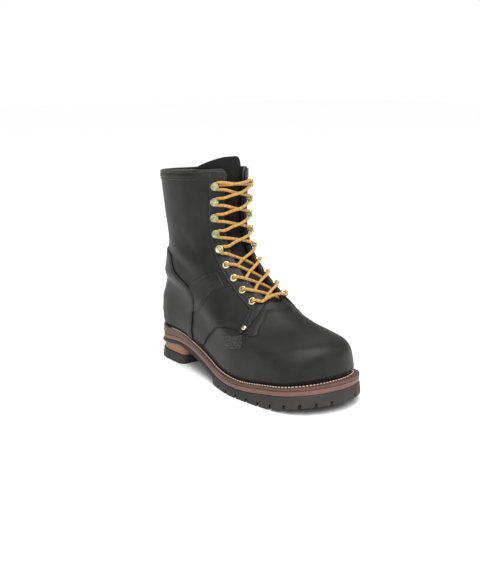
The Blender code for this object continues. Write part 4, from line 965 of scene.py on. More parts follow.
def upperPiece():
    side = np.concatenate([np.linspace(0, 1, upper["columns"] + 1), (1.25, 1.5, 1.75, 2.0)])
    columns = np.concatenate([-side[::-1], side[1:]])
    edge = quarterLine(columns)
    shown = np.clip((np.abs(columns) - 0.34) / 0.03, 0, 1)
    lower = np.linspace(0, 0.985, upper["lowerRows"])
    values = [edge * share for share in lower]
    lifts = [seamStep * (1 - shown) * np.clip(edge * share / 0.03, 0, 1) for share in lower]
    for off, high in upper["step"]:
        values.append(edge + off)
        lifts.append(seamStep * (high * shown + 1 - shown))
    base = throat["base"]
    for share in np.linspace(0, 1, upper["middleRows"] + 2)[1:]:
        values.append(edge + 0.004 + (base - edge - 0.004) * share)
        lifts.append(np.full_like(edge, seamStep))
    for share in rimShares(upper["upperRows"], 0.14)[1:]:
        values.append(base + (collarLine(columns) - base) * share)
        lifts.append(np.full_like(edge, seamStep))
    values, lifts = np.array(values), np.array(lifts)
    places = np.broadcast_to(columns, values.shape)
    points = onForm(values, places, lifts + relief(values, places))
    lines = [rimOf(*counterPlaces)]
    for side in (-1, 1):
        lines += [rimOf(*eyestayPlaces[side]), rimOf(*saddlePlaces[side])]
    shownColumns = np.abs(columns) > 0.36
    lines.append(onForm(edge - 0.004, columns, 0.0)[shownColumns])
    # painted shade: the upper darkens within 1.5 mm of the panels' rims and the quarters' edge, a shadow line
    # under their steps
    seamShade = np.exp(-(distances(points, pointTree(np.vstack(lines))) / (1.5 * mm)) ** 2)
    # painted highlight: the upper is paler toward its top edge at the collar
    rim = np.exp(-((1 - values) * last["shaft"] / (1.5 * mm)) ** 2)
    piece = gridPiece("bootUpper", points, formNormals(values, places), {"seam": seamShade, "rim": rim})
    beyond = np.maximum(np.abs(places[:-1, :-1]), np.abs(places[:-1, 1:])) > 1.0001
    gone = beyond & (values[:-1, :-1] > base - 1e-9)
    if (np.cross(np.gradient(points, axis=1), np.gradient(points, axis=0))
        * formNormals(values, places)).sum() < 0:
        gone = gone[:, ::-1]
    editFaces(piece, gone.ravel())
    bpy.ops.mesh.delete(type="FACE")
    closeSeams(piece, outside=False)
    applyModifier(piece, "SOLIDIFY", thickness=wall + 0.6 * mm, offset=-1.0, material_offset=1)
    return finishPiece(piece, (leather["bootLeather"], solid["liningLeather"]), ("upper",), 50)


def panelPiece(name, v, u, look, materials, slotName, nodes=(), roundness=0.75 * mm):
    # a leather panel over the quarters, with rounded rims
    points = onForm(v, u)
    away = distances(points, pointTree(rimOf(v, u)))
    drop = roundness * (1 - np.sqrt(np.clip(1 - (1 - np.clip(away / roundness, 0, 1)) ** 2, 0, 1)))
    lines = ((4.6 * mm, 1.3 * mm), (2.3 * mm, 0.9 * mm))
    ridge, groove = (np.exp(-((away - far) / wide) ** 2) for far, wide in lines)
    bead = 0.25 * mm * (ridge - groove)
    points = onForm(v, u, look["lift"] * mm - drop + bead + relief(v, u))
    # painted highlight: the rim mark pales the panel within about a millimetre of its rim
    piece = gridPiece(name, points, formNormals(v, u), {"rim": np.exp(-(away / (1.1 * mm)) ** 2)})
    applyModifier(piece, "SOLIDIFY", thickness=look["thick"] * mm, offset=-1.0)
    return finishPiece(piece, materials, nodes, 50)


upperPiece()
panelPiece("heelCounter", *counterPlaces, counter, (leather["bootLeather"],), "leather", ("counter",))
for side, word in ((-1, "outer"), (1, "inner")):
    panelPiece("eyestay" + word.title(), *eyestayPlaces[side], eyestay, (leather["eyestayLeather"],),
               "leather_dark",
               ("eyestay_" + word,))
    panelPiece("saddle" + word.title(), *saddlePlaces[side], saddle, (leather["bootLeather"],), "leather")
print("upper and panels modelled")


# Collar: a stitched band, and the bound top edge that turns down at the throat

collar = {"band": 9.5 * mm, "lift": 1.55, "thick": 0.8, "binding": 1.55 * mm, "turnDown": 0.045}


def collarPieces():
    across = np.linspace(-0.885, 0.885, 180)
    upward = rimShares(10, collar["band"])
    top = collarLine(across) - 0.002
    v = top[None] - collar["band"] / last["shaft"] * (1 - upward[:, None])
    u = np.broadcast_to(across, v.shape)
    panelPiece("collarBand", v, u, collar, (leather["bootLeather"],), "leather", ("collar_band",), 0.5 * mm)
    down = np.linspace(collarLine(1.0) - collar["turnDown"], collarLine(1.0), 8)[:-1]
    around = np.linspace(-1, 1, 260)
    v = np.concatenate([down, collarLine(around), down[::-1]])
    u = np.concatenate([np.full(7, -1.0), around, np.full(7, 1.0)])
    path = onForm(v, u, relief(v, u) - 0.5 * mm)
    size = collar["binding"] * np.concatenate([np.linspace(0.7, 1, 7), np.ones(260), np.linspace(1, 0.7, 7)])
    piece = tubePiece("collarBinding", path, size, 12)
    finishPiece(piece, (leather["edgeLeather"],), (), 60)


collarPieces()


# Tongue

tongue = {"low": 0.035, "stand": 15 * mm, "overlap": 16 * mm, "lean": 18 * mm, "depth": 3.9 * mm,
          "thick": 3.4 * mm,
          "outerDrop": 0.055, "innerDrop": 0.030, "spread": 30 * mm, "shift": 34 * mm, "wave": 0.5 * mm,
          "rows": 70, "columns": 44}


def fromFront(v, distance):
    # the place at this distance from the front centre along the loop
    v = min(v, last["top"])
    sign = -1 if distance < 0 else 1
    gap = abs(distance)
    row = onForm(np.full(41, v), sign * np.linspace(2, 1, 41))
    length = float(pathLength(row)[-1])
    if gap <= length:
        return sign * (2 - gap / length)
    reach = np.interp(v, gridV, gridReach[:, 0 if sign < 0 else 1])
    return sign * (1 - (gap - length) / reach)


def tonguePiece():
    low = throat["base"] - tongue["low"]
    v, u = np.zeros((tongue["rows"], tongue["columns"])), np.zeros((tongue["rows"], tongue["columns"]))
    for i, share in enumerate(rimShares(tongue["rows"] - 10, 0.15)[:tongue["rows"]]):
        for j, across in enumerate(np.linspace(-1, 1, tongue["columns"])):
            drop = tongue["outerDrop"] * max(0.0, -across) ** 1.5
            drop += tongue["innerDrop"] * max(0.0, across - 0.6) ** 2 / 0.16
            v[i, j] = low + (1.0 + tongue["stand"] / last["shaft"] - drop - low) * share
            overlap = tongue["overlap"] * (0.55 + 0.45 * min(1.0, share * 4))
            overlap += tongue["spread"] * max(0.0, share - 0.55)
            shift = tongue["shift"] * max(0.0, share - 0.45) ** 1.5
            lean = tongue["lean"] * max(0.0, across) * max(0.0, share - 0.6) / 0.4
            u[i, j] = fromFront(v[i, j], across * (throatHalf(v[i, j]) + overlap) - shift - lean)
    waves = tongue["wave"] * np.sin(np.linspace(0, 5 * math.pi, tongue["rows"]))[:, None]
    waves = waves * np.linspace(1, 0.2, tongue["columns"])
    points = onForm(v, u, waves - tongue["depth"])
    piece = gridPiece("bootTongue", points, formNormals(v, u))
    applyModifier(piece, "SOLIDIFY", thickness=tongue["thick"], offset=-1.0)
    applyModifier(piece, "BEVEL", width=1.2 * mm, segments=3, limit_method="ANGLE",
                  angle_limit=math.radians(60))
    finishPiece(piece, (leather["tongueLeather"],), ("tongue",), 60)


tonguePiece()


# Side tag, left bare

tag = {"corners": ((0.214, 0.573), (0.241, 0.696), (0.186, 0.662), (0.154, 0.553)), "lift": 1.0, "thick": 0.7}


def tagPiece():
    topLeft, topRight, lowRight, lowLeft = (np.array(corner) for corner in tag["corners"])
    t, s = rimShares(8, 0.010, 0.4 * mm)[:, None, None], rimShares(12, 0.016, 0.4 * mm)[None, :, None]
    both = (lowLeft * (1 - s) + lowRight * s) * (1 - t) + (topLeft * (1 - s) + topRight * s) * t
    panelPiece("sideTag", both[..., 0], -both[..., 1], tag, (tagWeave,), "fabric_black", ("side_tag",),
               0.4 * mm)


tagPiece()
print("collar, tongue and tag modelled")


# Sole: every layer follows the feather line

sole = {"steps": 120, "welt": 6.2 * mm, "toeWelt": 12.5 * mm, "heelWelt": 3.8 * mm, "weltThick": 4.2 * mm,
        "heelRand": 8.5 * mm, "seat": 7.0 * mm, "midsole": 6.2 * mm, "waist": 3.8 * mm, "gap": 0.3 * mm}
outsole = {"lugDepth": 5.2 * mm, "lugWidth": 20 * mm, "channel": 5 * mm, "lugGap": 3.2 * mm, "lugPairs": 11, "plainSteps": 43,
           "lugSteps": 6, "lugStart": -0.010, "flare": 1.5 * mm}
heel = {"topPiece": 12.5 * mm, "breast": 0.074, "inset": 1.6 * mm, "corner": 9 * mm, "slant": 4 * mm,
        "sideSteps": 42, "cornerSteps": 8, "notches": 9}


def weltReach(y):
    return eased(np.array([-0.53, -0.40, 0.10, 0.30]) * last["length"],
                 (sole["toeWelt"], sole["welt"], sole["welt"], sole["heelWelt"]), y)


def planRing():
    t = (1 - np.cos(np.linspace(0, math.pi, sole["steps"] + 1))) / 2
    dense = (1 - np.cos(np.linspace(0, math.pi, last["dense"] + 1))) / 2
    outer, inner = (pointsAt(t, dense, half[:, :2]) for half, _ in halfLoops(0.0))
    ring = np.vstack([outer, inner[-2:0:-1]])
    turn = np.roll(ring, -2, axis=0) - np.roll(ring, 2, axis=0)
    out = np.stack([turn[:, 1], -turn[:, 0]], axis=1)
    out /= np.linalg.norm(out, axis=1)[:, None]
    if (out * (ring - ring.mean(axis=0))).sum() < 0:
        out = -out
    number = np.minimum(np.arange(len(ring)), len(ring) - np.arange(len(ring)))
    number = np.clip(number, 6, sole["steps"] - 6)
    return ring, out, (outer[number] + inner[number]) / 2


featherRing, featherOut, spine = planRing()


def ringHalves(ring):
    # the outer and inner half of a closed ring, both from heel to toe
    steps = sole["steps"]
    return ring[:steps + 1], np.vstack([ring[:1], ring[:steps - 1:-1]])


def soleRing(margin):
    return featherRing + featherOut * (weltReach(featherRing[:, 1]) + margin)[:, None]


def weltThickness(y):
    thicker = eased(np.array([0.16, 0.40]) * last["length"], (0.0, 1.0), y)
    return sole["weltThick"] + sole["heelRand"] * thicker


def midsoleTop(y):
    return featherHeight(y) - weltThickness(y)


def midsoleBottom(y):
    return midsoleTop(y) - sole["midsole"]


def treadHeight(y):
    rows = np.array(treadRows)
    return eased(rows[:, 0] * last["length"], rows[:, 1] * last["toeSpring"], y)


def sweptPlate(name, profile, closed=False):
    # a layer round the whole sole: each profile step gives a ring and its height
    levels = []
    for ring, height in profile:
        levels.append(np.column_stack([ring, height(ring[:, 1])]))
    if closed:
        levels.append(levels[0])
    grid = np.array(levels)
    grid = np.concatenate([grid, grid[:, :1]], axis=1)
    piece = gridPiece(name, grid)
    closeSeams(piece, 2e-6)
    return piece


def roundedSide(top, bottom, margin=0.0, roundness=0.8 * mm, groove=0.0):
    # profile steps down a layer's rounded side
    steps = []
    for angle in np.radians((90, 60, 30, 0)):
        steps.append((soleRing(margin - roundness * (1 - math.cos(angle))), lambda y,
                      a=angle: top(y) - roundness * (1 - math.sin(a))))
    if groove:
        steps.append((soleRing(margin - groove), lambda y: (top(y) + bottom(y)) / 2))
    for angle in np.radians((0, 30, 60, 90)):
        steps.append((soleRing(margin - roundness * (1 - math.cos(angle))), lambda y,
                      a=angle: bottom(y) + roundness * (1 - math.sin(a))))
    return steps


def weltPiece():
    seat = featherRing - featherOut * sole["seat"]
    top, low = (lambda y: featherHeight(y) - 0.4 * mm), (lambda y: midsoleTop(y) + 0.1 * mm)
    edge = featherRing + featherOut * (0.4 * mm)
    profile = [(seat, low), (seat, top), (edge, top)] + roundedSide(top, low)
    piece = sweptPlate("bootWelt", profile, closed=True)
    finishPiece(piece, (solid["weltLeather"],), ("welt",), 40)


def midsolePiece():
    top, low = (lambda y: midsoleTop(y) - sole["gap"]), (lambda y: midsoleBottom(y) + 0.1 * mm)
    profile = [(spine, top)] + roundedSide(top, low, -0.3 * mm, 0.7 * mm) + [(spine, low)]
    finishPiece(sweptPlate("bootMidsole", profile), (solid["midsoleLeather"],),
                ("midsole",), 40)


def insolePiece():
    inside = featherRing - featherOut * (wall + 0.8 * mm)
    top, low = (lambda y: featherHeight(y) + 4 * mm), (lambda y: featherHeight(y) + 0.2 * mm)
    softer = featherRing - featherOut * (wall + 2.0 * mm)
    profile = [(spine, lambda y: top(y) + 0.6 * mm), (softer, top), (inside, lambda y: top(y) - 1 * mm),
               (inside, low), (spine, low)]
    finishPiece(sweptPlate("bootInsole", profile), (solid["insoleBoard"],), ("insole",), 40)


def ringAt(half, shares):
    lengths = pathLength(half)
    return pointsAt(shares * lengths[-1], lengths, half)


def outsolePiece():
    guide = ringHalves(soleRing(outsole["flare"]))[0]
    lengths = pathLength(guide)
    start = float(np.interp(-outsole["lugStart"], -guide[:, 1], lengths)) / lengths[-1]
    pitch = (1 - start + outsole["lugGap"] / lengths[-1] / 2) / outsole["lugPairs"]
    gap = outsole["lugGap"] / lengths[-1]
    plain, fine = outsole["plainSteps"], outsole["lugSteps"]
    shares, isLug = list(np.linspace(0, 1, plain + 1)[:-1] * start), [False] * plain
    for k in range(outsole["lugPairs"]):
        first, end = start + k * pitch, min(start + (k + 1) * pitch - gap, 1.0)
        if k == outsole["lugPairs"] - 1:
            end = 1.0
        shares += list(np.linspace(first, end, fine + 1))
        isLug += [True] * fine + [False]
    shares, isLug = np.array(shares), np.array(isLug[:-1])
    insets = (outsole["flare"], outsole["flare"] - outsole["lugWidth"],
              outsole["flare"] - outsole["lugWidth"] - outsole["channel"])

    def base(y):
        thin, thick = midsoleBottom(y) - sole["waist"], treadHeight(y) + outsole["lugDepth"]
        return np.where(y > outsole["lugStart"], thin, np.minimum(thin, thick))

    def row(half, height):
        points = ringAt(half, shares)
        return np.column_stack([points, height(points[:, 1])])

    top = lambda y: midsoleBottom(y) - sole["gap"]
    lowPairs = [[row(half, base) for half in ringHalves(soleRing(margin))] for margin in insets]
    outerLow, innerLow = zip(*lowPairs)
    topPair = [row(half, top) for half in ringHalves(soleRing(-0.2 * mm))]
    side = lambda y: np.maximum(top(y) - 1.0 * mm, base(y) + 0.5 * mm)
    sidePair = [row(half, side) for half in ringHalves(soleRing(0.3 * mm))]
    section = [topPair[0], sidePair[0], *outerLow, *innerLow[::-1], sidePair[1], topPair[1], topPair[0]]
    piece = gridPiece("bootOutsole", np.array(section))
    cells = np.zeros((len(section) - 1, len(shares) - 1), bool)
    cells[2] = cells[6] = isLug
    cells[4] = isLug & (np.arange(len(isLug)) < len(isLug) - 18)
    editFaces(piece, cells.ravel())
    bpy.ops.mesh.extrude_region_move(TRANSFORM_OT_translate={"value": (0, 0, -0.001)})
    bpy.ops.object.mode_set(mode="OBJECT")
    for vertex in piece.data.vertices:
        if vertex.select:
            vertex.co.z = float(treadHeight(np.array([vertex.co.y - bootShift[1]]))[0])
    closeSeams(piece, 2e-6)
    applyModifier(piece, "BEVEL", width=0.8 * mm, segments=2, limit_method="ANGLE",
                  angle_limit=math.radians(50))
    finishPiece(piece, (solid["soleRubber"],), ("outsole",), 35)


def heelPlan(margin, front):
    # the heel's outline, from the breast back round the heel, with rounded front corners
    corner = heel["corner"]
    sides = []
    for half in ringHalves(soleRing(margin)):
        kept = half[half[:, 1] > front + corner]
        before, after = half[len(kept) - 1], half[len(kept)]
        share = (before[1] - front - corner) / (before[1] - after[1])
        kept = np.vstack([kept, before + (after - before) * share])
        kept = ringAt(kept, np.linspace(0, 1, heel["sideSteps"]))
        side = math.copysign(1, kept[-1, 0])
        angles = np.radians(np.linspace(0, 90, heel["cornerSteps"] + 1))[1:]
        middle = kept[-1] - np.array([side * corner, 0])
        arc = middle + corner * np.stack([side * np.cos(angles), -np.sin(angles)], axis=1)
        sides.append(np.vstack([kept, arc]))
    return np.vstack([sides[0][::-1], sides[1][1:]])


def heelPlate(name, levels):
    # rings from the top down, closed over the middle at both ends
    rings = []
    for margin, front, height in levels:
        plan = heelPlan(margin, front)
        rings.append(np.column_stack([plan, height(plan[:, 1])]))
    top, low = (np.broadcast_to(ring.mean(axis=0), ring.shape) for ring in (rings[0], rings[-1]))
    grid = np.array([top, *rings, low])
    piece = gridPiece(name, np.concatenate([grid, grid[:, :1]], axis=1))
    closeSeams(piece, 2e-6)
    return piece


def heelPieces():
    seat = lambda y: midsoleBottom(y) - sole["waist"] - 0.7 * mm
    breast, slant, inset = heel["breast"], heel["slant"], heel["inset"]
    roundness = 1.6 * mm
    high = heel["topPiece"]
    middle = lambda y: (seat(y) + high) / 2
    lift = heelPlate("heelLift", (
        (-inset - roundness, breast + roundness, seat), (-inset, breast, lambda y: seat(y) - 0.8 * mm),
        (-inset - 0.2 * mm, breast + slant / 3, middle),
        (-inset, breast + slant / 2, lambda y: np.full_like(y, high + 1.0 * mm)),
        (-inset - 0.8 * mm, breast + slant / 2 + 1 * mm, lambda y: np.full_like(y, high + 0.3 * mm))))
    finishPiece(lift, (solid["liftLeather"],), ("heel_lift",), 40)
    flare = outsole["flare"]
    flat = lambda height: lambda y: np.full_like(y, height)
    cap = heelPlate("heelTopPiece", (
        (-0.7 * mm, breast + slant / 2, flat(high)), (0.0, breast + slant / 2, flat(high - 0.8 * mm)),
        (flare * 0.5, breast + slant * 0.7, flat(high / 2)), (flare, breast + slant, flat(0.8 * mm)),
        (flare - 0.7 * mm, breast + slant + 0.7 * mm, flat(0.0))))
    ring = heelPlan(flare, breast + slant)
    ring = np.vstack([ring, ring[:1]])
    lengths = pathLength(ring)
    notches = []
    for place in np.linspace(0.03, 0.97, heel["notches"]) * lengths[-1]:
        at, ahead = (pointsAt(place + step, lengths, ring) for step in (0, 1 * mm))
        if at[1] < breast + 10 * mm:
            continue
        deselectAll()
        bpy.ops.mesh.primitive_cube_add(size=1, location=(at[0] + bootShift[0], at[1] + bootShift[1], 0),
                                        rotation=(0, 0, math.atan2(*(ahead - at)[::-1])))
        notch = bpy.context.object
        notch.scale = (outsole["lugGap"], 0.9 * outsole["lugWidth"], 2 * outsole["lugDepth"])
        bpy.ops.object.transform_apply(location=True, rotation=True, scale=True)
        notches.append(notch)
    cutter = joinPieces("heelNotches", notches)
    applyModifier(cap, "BOOLEAN", operation="DIFFERENCE", solver="EXACT", object=cutter)
    removePiece(cutter)
    applyModifier(cap, "BEVEL", width=0.5 * mm, segments=2, limit_method="ANGLE",
                  angle_limit=math.radians(55))
    finishPiece(cap, (solid["soleRubber"],), ("heel_top_piece",), 35)


weltPiece()
midsolePiece()
insolePiece()
outsolePiece()
heelPieces()
print("sole modelled")


# Eyelets, speed hooks and rivets: each modelled once, then copied

rowPlan = {"rows": 9, "eyelets": 4, "first": 13 * mm, "last": 20 * mm, "setback": 12 * mm}
eyelet = {"radius": 5.0, "hole": 2.5, "height": 1.5}
hook = {"radius": 5.3, "open": 5.0, "plate": 0.8, "neck": 3.8}
rivet = {"radius": 3.5, "height": 2.3, "place": (-0.33, 2.12)}
hardwareLift = eyestay["lift"] * mm


def modelEyelet():
    outer, hole, high = eyelet["radius"], eyelet["hole"], eyelet["height"]
    middle = (outer + hole) / 2
    return spun("eyeletModel", ((outer, -0.2), (outer, high * 0.35), (outer - 0.5, high * 0.8),
                                (middle + 0.2, high),
                                (middle - 0.6, high * 0.95), (hole + 0.2, high * 0.6), (hole, 0.0),
                                (hole, -3.0),
                                (hole + 0.3, -3.0), (hole + 0.3, -0.2)))


def modelHook():
    low = hook["plate"] + hook["open"]
    big = hook["radius"]
    base = spun("hookModel", ((0.0, -0.1), (big * 0.86, -0.1), (big * 0.86, 0.5), (big * 0.74, 0.8),
                              (0.0, 0.8)), 24)
    cap = spun("hookCap", ((0.0, low), (big * 0.94, low), (big, low + 0.3), (big * 0.95, low + 0.95),
                           (big * 0.80, low + 1.25),
                           (big * 0.62, low + 1.0), (big * 0.50, low + 0.75), (big * 0.26, low + 1.0),
                           (0.0, low + 1.15)), 28)
    deselectAll()
    bpy.ops.mesh.primitive_cube_add(size=1, location=(hook["radius"] * 0.70 * mm, 0, (low + 0.4) / 2 * mm))
    neck = bpy.context.object
    neck.scale = (0.9 * mm, hook["neck"] * mm, (low + 0.4) * mm)
    bpy.ops.object.transform_apply(location=False, rotation=False, scale=True)
    bpy.ops.object.transform_apply(location=True, rotation=False, scale=False)
    applyModifier(neck, "BEVEL", width=0.3 * mm, segments=2)
    return joinPieces("hookModel", [base, cap, neck])


def modelRivet():
    big, high = rivet["radius"], rivet["height"]
    return spun("rivetModel", ((0.0, -0.1), (big, -0.1), (big, 0.3), (big * 0.93, high * 0.5),
                               (big * 0.72, high * 0.82),
                               (big * 0.40, high * 0.97), (0.0, high)), 24)


def rowLine(side):
    lengths = guides[side][1]
    places = np.linspace(rowPlan["first"], lengths[-1] - rowPlan["last"], rowPlan["rows"])
    return besideThroat(side, places, np.full(rowPlan["rows"], rowPlan["setback"]))


def fittingFrame(v, u, lift):
    # Z out of the leather and X toward the throat
    v, u = np.array(float(v)), np.array(float(u))
    normal = Vector(formNormals(v, u))
    across = Vector(onForm(v, u + math.copysign(0.02, u))) - Vector(onForm(v, u - math.copysign(0.02, u)))
    xAxis = (across - normal * across.dot(normal)).normalized()
    place = Vector(onForm(v, u, relief(v, u) + lift))
    return Matrix.Translation(place) @ Matrix((xAxis, normal.cross(xAxis), normal)).transposed().to_4x4()


def hardware():
    eyeletModel, hookModel, rivetModel = modelEyelet(), modelHook(), modelRivet()
    frames = {}
    for side, word in ((-1, "outer"), (1, "inner")):
        for k, (v, u) in enumerate(zip(*rowLine(side))):
            isHook = k >= rowPlan["eyelets"]
            frames[side, k] = fittingFrame(v, u, hardwareLift)
            kind = "hook" if isHook else "eyelet"
            piece = placedCopy(f"{kind}{word.title()}{k + 1}", hookModel if isHook else eyeletModel,
                               frames[side, k])
            finishPiece(piece, (metal["oliveBrass" if isHook else "brightBrass"],),
                        (f"{kind}_{word}_{k + 1}",), 40)
        at, away = (share * eyestay["width"] for share in rivet["place"])
        v, u = besideThroat(side, np.array([at]), np.array([away]))
        piece = placedCopy("rivet" + word.title(), rivetModel, fittingFrame(v[0], u[0], hardwareLift))
        finishPiece(piece, (metal["brightBrass"],), ("rivet_" + word,), 40)
    for model in (eyeletModel, hookModel, rivetModel):
        removePiece(model)
    return frames


fittings = hardware()
print("hardware modelled")


# Lace: one round cord, from the top outer hook down through the eyelets and up to the top inner hook

lace = {"radius": laceFinish["radius"], "sides": 12, "step": 1.1 * mm,
        # heights in mm of the strand on top and of the one below, where they cross
        "inside": ((-1.2, 2.6), (-3.4, -1.6)), "outside": ((5.6, 6.4), (3.0, 2.4))}


def local(side, k, x, y, z):
    return np.array(fittings[side, k] @ Vector((x * mm, y * mm, z * mm)))


def frontPoint(first, second, share, lift):
    # a point over the throat, between two points, at this height over the form
    chord = np.asarray(first) * (1 - share) + np.asarray(second) * share
    v, u = nearest(chord)
    return onForm(v, u, np.array([lift]))[0]


# places in mm from a fitting, X toward the throat and Z out of the leather: over the flap's edge and down
# through an eyelet, and round the lower half of a hook's neck, which the upper half mirrors
eyeletWalk = ((12.5, 0, 2.6), (8.0, 0, 4.0), (4.0, 0, 4.2), (1.4, 0, 2.6), (0.2, 0, 0.0), (0.0, 0, -3.2),
              (1.2, 0, -6.2), (5.0, 0, -7.4), (10.5, 1.0, -7.0))
hookWalk = ((9.0, 4.4, 3.2), (5.0, 4.3, 3.2), (2.2, 3.6, 3.2), (0.5, 2.0, 3.3))


def intoEyelet(side, k):
    return [local(side, k, *place) for place in eyeletWalk]


def roundHook(side, k):
    # up to the hook from below, behind its neck and away above it
    low = [local(side, k, x, -y, z) for x, y, z in hookWalk]
    high = [local(side, k, *place) for place in hookWalk[::-1]]
    walk = low + [local(side, k, 0.0, 0.0, hookWalk[-1][2])] + high
    return walk if walk[-1][2] >= walk[0][2] else walk[::-1]


def laceHalf(firstSide):
    # from the bottom bar up: out of the first eyelet's inside, over the throat, and so on up to the top hook
    walk, side = [], firstSide
    walk += intoEyelet(side, 0)
    for k in range(1, rowPlan["rows"]):
        before, side = walk[-1], -side
        onTop = side > 0
        entry = intoEyelet(side, k) if k < rowPlan["eyelets"] else roundHook(side, k)
        fromInside = k <= rowPlan["eyelets"]
        low, high = lace["inside" if fromInside else "outside"][0 if onTop else 1]
        walk.append(frontPoint(before, entry[0], 0.34, low * mm))
        walk.append(frontPoint(before, entry[0], 0.56, high * mm))
        if fromInside:
            walk.append(frontPoint(before, entry[0], 0.80, (4.2 if onTop else 2.6) * mm))
        walk += entry
    return walk, side


def lacePath():
    outer, outerEnd = laceHalf(-1)
    inner, innerEnd = laceHalf(1)
    bar = [frontPoint(outer[0], inner[0], share, 5.4 * mm) for share in (0.25, 0.5, 0.75)]
    ends = []
    for walk, side in ((outer, outerEnd), (inner, innerEnd)):
        reach = local(-side, rowPlan["rows"] - 1, 6.0, 1.0, 1.6 if side > 0 else 4.6)
        tail = [frontPoint(walk[-1], reach, 0.3, 4.4 * mm if side < 0 else 6.2 * mm),
                frontPoint(walk[-1], reach, 0.65, 4.2 * mm if side < 0 else 5.6 * mm), reach]
        ends.append(tail)
    whole = ends[0][::-1] + outer[::-1] + bar + inner + ends[1]
    return np.array(whole)


def smoothPath(points, step):
    # a curve through the points, then even steps along it
    lengths = pathLength(points) + np.arange(len(points)) * 1e-9
    dense = np.linspace(0, lengths[-1], int(lengths[-1] / (0.4 * mm)))
    found = np.stack([catmull(lengths, points[:, k], dense) for k in range(3)], axis=1)
    reach = pathLength(found)
    even = np.linspace(0, reach[-1], int(reach[-1] / step))
    return pointsAt(even, reach, found)


def catmull(xs, ys, at):
    lean = np.gradient(ys, xs)
    low = np.clip(np.searchsorted(xs, at, side="right") - 1, 0, len(xs) - 2)
    width = xs[low + 1] - xs[low]
    part = (at - xs[low]) / width
    return hermite(part, width, ys[low], ys[low + 1], lean[low], lean[low + 1])


laceNodes = ["lace_bar_bottom", "lace_bar_top"] + [f"lace_crossing_{k}" for k in range(1, 9)]
laceLine = smoothPath(lacePath(), lace["step"])
lacePiece = tubePiece("bootLace", laceLine, lace["radius"], lace["sides"])
finishPiece(lacePiece, (goldLace,), laceNodes, 60)
print("lace laid, metres:", round(float(pathLength(laceLine)[-1]), 2))


# Stitches: one stitch is modelled, and copied along every seam

stitch = {"length": 2.3 * mm, "thick": 0.42 * mm, "pitch": 3.1 * mm, "look": 0.1 * mm,
          "weltLength": 3.2 * mm, "weltThick": 0.80 * mm, "weltPitch": 4.2 * mm, "weltOut": 2.3 * mm,
          "weltEnd": 0.105,
          # double rows: how far they stand inside each edge, in loop values or in metres, and the
          # saddle's as rows of its grid
          "quarterRows": (0.0085, 0.0205), "collarRows": (0.030, 0.042), "counterRows": (2.2 * mm, 5.0 * mm),
          "eyestayRows": (1.9 * mm, 4.2 * mm), "saddleRows": (7, -8)}


def modelStitch(length, thick):
    deselectAll()
    bpy.ops.mesh.primitive_uv_sphere_add(segments=6, ring_count=5, radius=1)
    piece = bpy.context.object
    piece.scale = (length / 2, thick, thick)
    bpy.ops.object.transform_apply(location=False, rotation=True, scale=True)
    return piece


def stitchFrame(at, ahead, upward):
    # X along the seam and Z out of the surface
    ahead = ahead / np.linalg.norm(ahead)
    side = np.cross(upward, ahead)
    side /= np.linalg.norm(side)
    matrix = np.eye(4)
    matrix[:3, :3] = np.column_stack([ahead, side, np.cross(ahead, side)])
    matrix[:3, 3] = at + bootShift
    return matrix


def seamFrames(v, u, lift, pitch):
    points = onForm(v, u, lift + relief(v, u))
    normals = formNormals(v, u)
    lengths = pathLength(points)
    frames = []
    for place in np.arange(pitch, lengths[-1] - pitch / 2, pitch):
        at, ahead = (pointsAt(place + step, lengths, points) for step in (0, stitch["look"]))
        frames.append(stitchFrame(at, ahead - at, pointsAt(place, lengths, normals)))
    return frames


def insideLine(grid, distance):
    # a line inside a panel's rim: up one side, along its end and back
    v, u = grid
    points = onForm(v, u)
    rows = []
    for line, inward in ((np.s_[:, 0], np.s_[:, 8]), (np.s_[:, -1], np.s_[:, -9])):
        toward = points[inward] - points[line]
        toward /= np.linalg.norm(toward, axis=1)[:, None] + 1e-12
        rows.append(nearest((points[line] + toward * distance)[6:-6]))
    return rows


def stitching():
    frames = []
    u = np.linspace(0.37, 2.0, 220)
    for side in (-1, 1):
        for off in stitch["quarterRows"]:
            line = quarterLine(u) + off
            shown = u < 0.985
            frames += seamFrames(line[shown], u[shown] * side, seamStep, stitch["pitch"])
        for first, distance in enumerate(stitch["eyestayRows"]):
            for v, w in insideLine(eyestayPlaces[side], distance)[first:]:
                frames += seamFrames(v, w, (eyestay["lift"] - 0.1) * mm, stitch["pitch"])
        v, w = saddlePlaces[side]
        for row in stitch["saddleRows"]:
            frames += seamFrames(v[row], w[row], (saddle["lift"] + 0.05) * mm, stitch["pitch"])
    for distance in stitch["counterRows"]:
        for v, w in insideLine(counterPlaces, distance):
            frames += seamFrames(v, w, (counter["lift"] - 0.12) * mm, stitch["pitch"])
    for off in stitch["collarRows"]:
        w = np.linspace(-0.96, 0.96, 300)
        frames += seamFrames(collarLine(w) - off, w, collar["lift"] * mm, stitch["pitch"])
    model = modelStitch(stitch["length"], stitch["thick"])
    finishPiece(copiesOf("leatherStitches", model, frames), (solid["blackThread"],), (), 60)
    removePiece(model)
    return len(frames)


def weltStitching():
    ring = featherRing + featherOut * stitch["weltOut"]
    ring = np.vstack([ring, ring[:1]])
    points = np.column_stack([ring, featherHeight(ring[:, 1]) - 0.25 * mm])
    lengths = pathLength(points)
    frames = []
    for place in np.arange(0, lengths[-1] - stitch["weltPitch"] / 2, stitch["weltPitch"]):
        at, ahead = (pointsAt(place + step, lengths, points) for step in (0, stitch["look"]))
        if at[1] <= stitch["weltEnd"]:
            frames.append(stitchFrame(at, ahead - at, (0, 0, 1.0)))
    model = modelStitch(stitch["weltLength"], stitch["weltThick"])
    finishPiece(copiesOf("weltStitches", model, frames), (solid["creamThread"],), (), 60)
    removePiece(model)


print("stitches:", stitching())
weltStitching()


# Floor and studio light

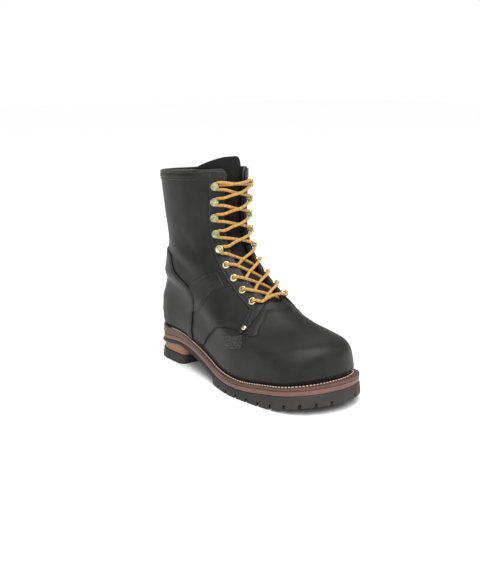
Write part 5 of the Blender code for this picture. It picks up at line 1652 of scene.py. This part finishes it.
studio = {"floor": (0.94, 0.94, 0.94), "world": 0.34, "backdrop": 1.0,
          "sun": {"power": 2.9, "angle": 50.0, "turn": (28.0, -14.0, 0.0)},
          "lights": (("overhead", (-0.2, -0.3, 1.7), 1.5, 9.0), ("frontLeft", (-1.5, -1.1, 1.0), 0.9, 7.0),
                     ("frontRight", (1.2, -1.4, 1.1), 0.8, 5.0), ("backRim", (0.5, 1.4, 1.2), 0.9, 7.0))}


def studioSetup():
    deselectAll()
    bpy.ops.mesh.primitive_plane_add(size=30)
    floor = bpy.context.object
    floor.name = "floor"
    material, tree, shader = newMaterial("paleFloor", 0.75)
    place = objectPlace(tree)
    patch = noiseNode(tree, place, 3.0, 2)
    shade = tuple(value * 0.985 for value in studio["floor"])
    tree.links.new(mixColours(tree, patch, shade, studio["floor"]), shader.inputs["Base Color"])
    floor.data.materials.append(material)
    world = bpy.data.worlds.new("studioWorld")
    world.use_nodes = True
    # the backdrop is seen brighter than it lights, as a lit paper sweep would be
    nodes, links = world.node_tree.nodes, world.node_tree.links
    lighting = nodes["Background"]
    lighting.inputs["Color"].default_value = (1, 1, 1, 1)
    lighting.inputs["Strength"].default_value = studio["world"]
    backdrop = nodes.new("ShaderNodeBackground")
    backdrop.inputs["Color"].default_value = (1, 1, 1, 1)
    backdrop.inputs["Strength"].default_value = studio["backdrop"]
    seen = nodes.new("ShaderNodeMixShader")
    links.new(nodes.new("ShaderNodeLightPath").outputs["Is Camera Ray"], seen.inputs[0])
    links.new(lighting.outputs[0], seen.inputs[1])
    links.new(backdrop.outputs[0], seen.inputs[2])
    links.new(seen.outputs[0], nodes["World Output"].inputs["Surface"])
    bpy.context.scene.world = world
    sunData = bpy.data.lights.new("softSun", "SUN")
    sunData.energy = studio["sun"]["power"]
    sunData.angle = math.radians(studio["sun"]["angle"])
    sun = bpy.data.objects.new("softSun", sunData)
    bpy.context.scene.collection.objects.link(sun)
    sun.rotation_euler = tuple(math.radians(value) for value in studio["sun"]["turn"])
    for name, place, size, power in studio["lights"]:
        data = bpy.data.lights.new(name, "AREA")
        data.shape = "DISK"
        data.size, data.energy = size, power
        lamp = bpy.data.objects.new(name, data)
        bpy.context.scene.collection.objects.link(lamp)
        lamp.location = place
        lamp.rotation_euler = (Vector((0, 0, 0.12)) - Vector(place)).to_track_quat("-Z", "Y").to_euler()


studioSetup()
deselectAll()
print("done")
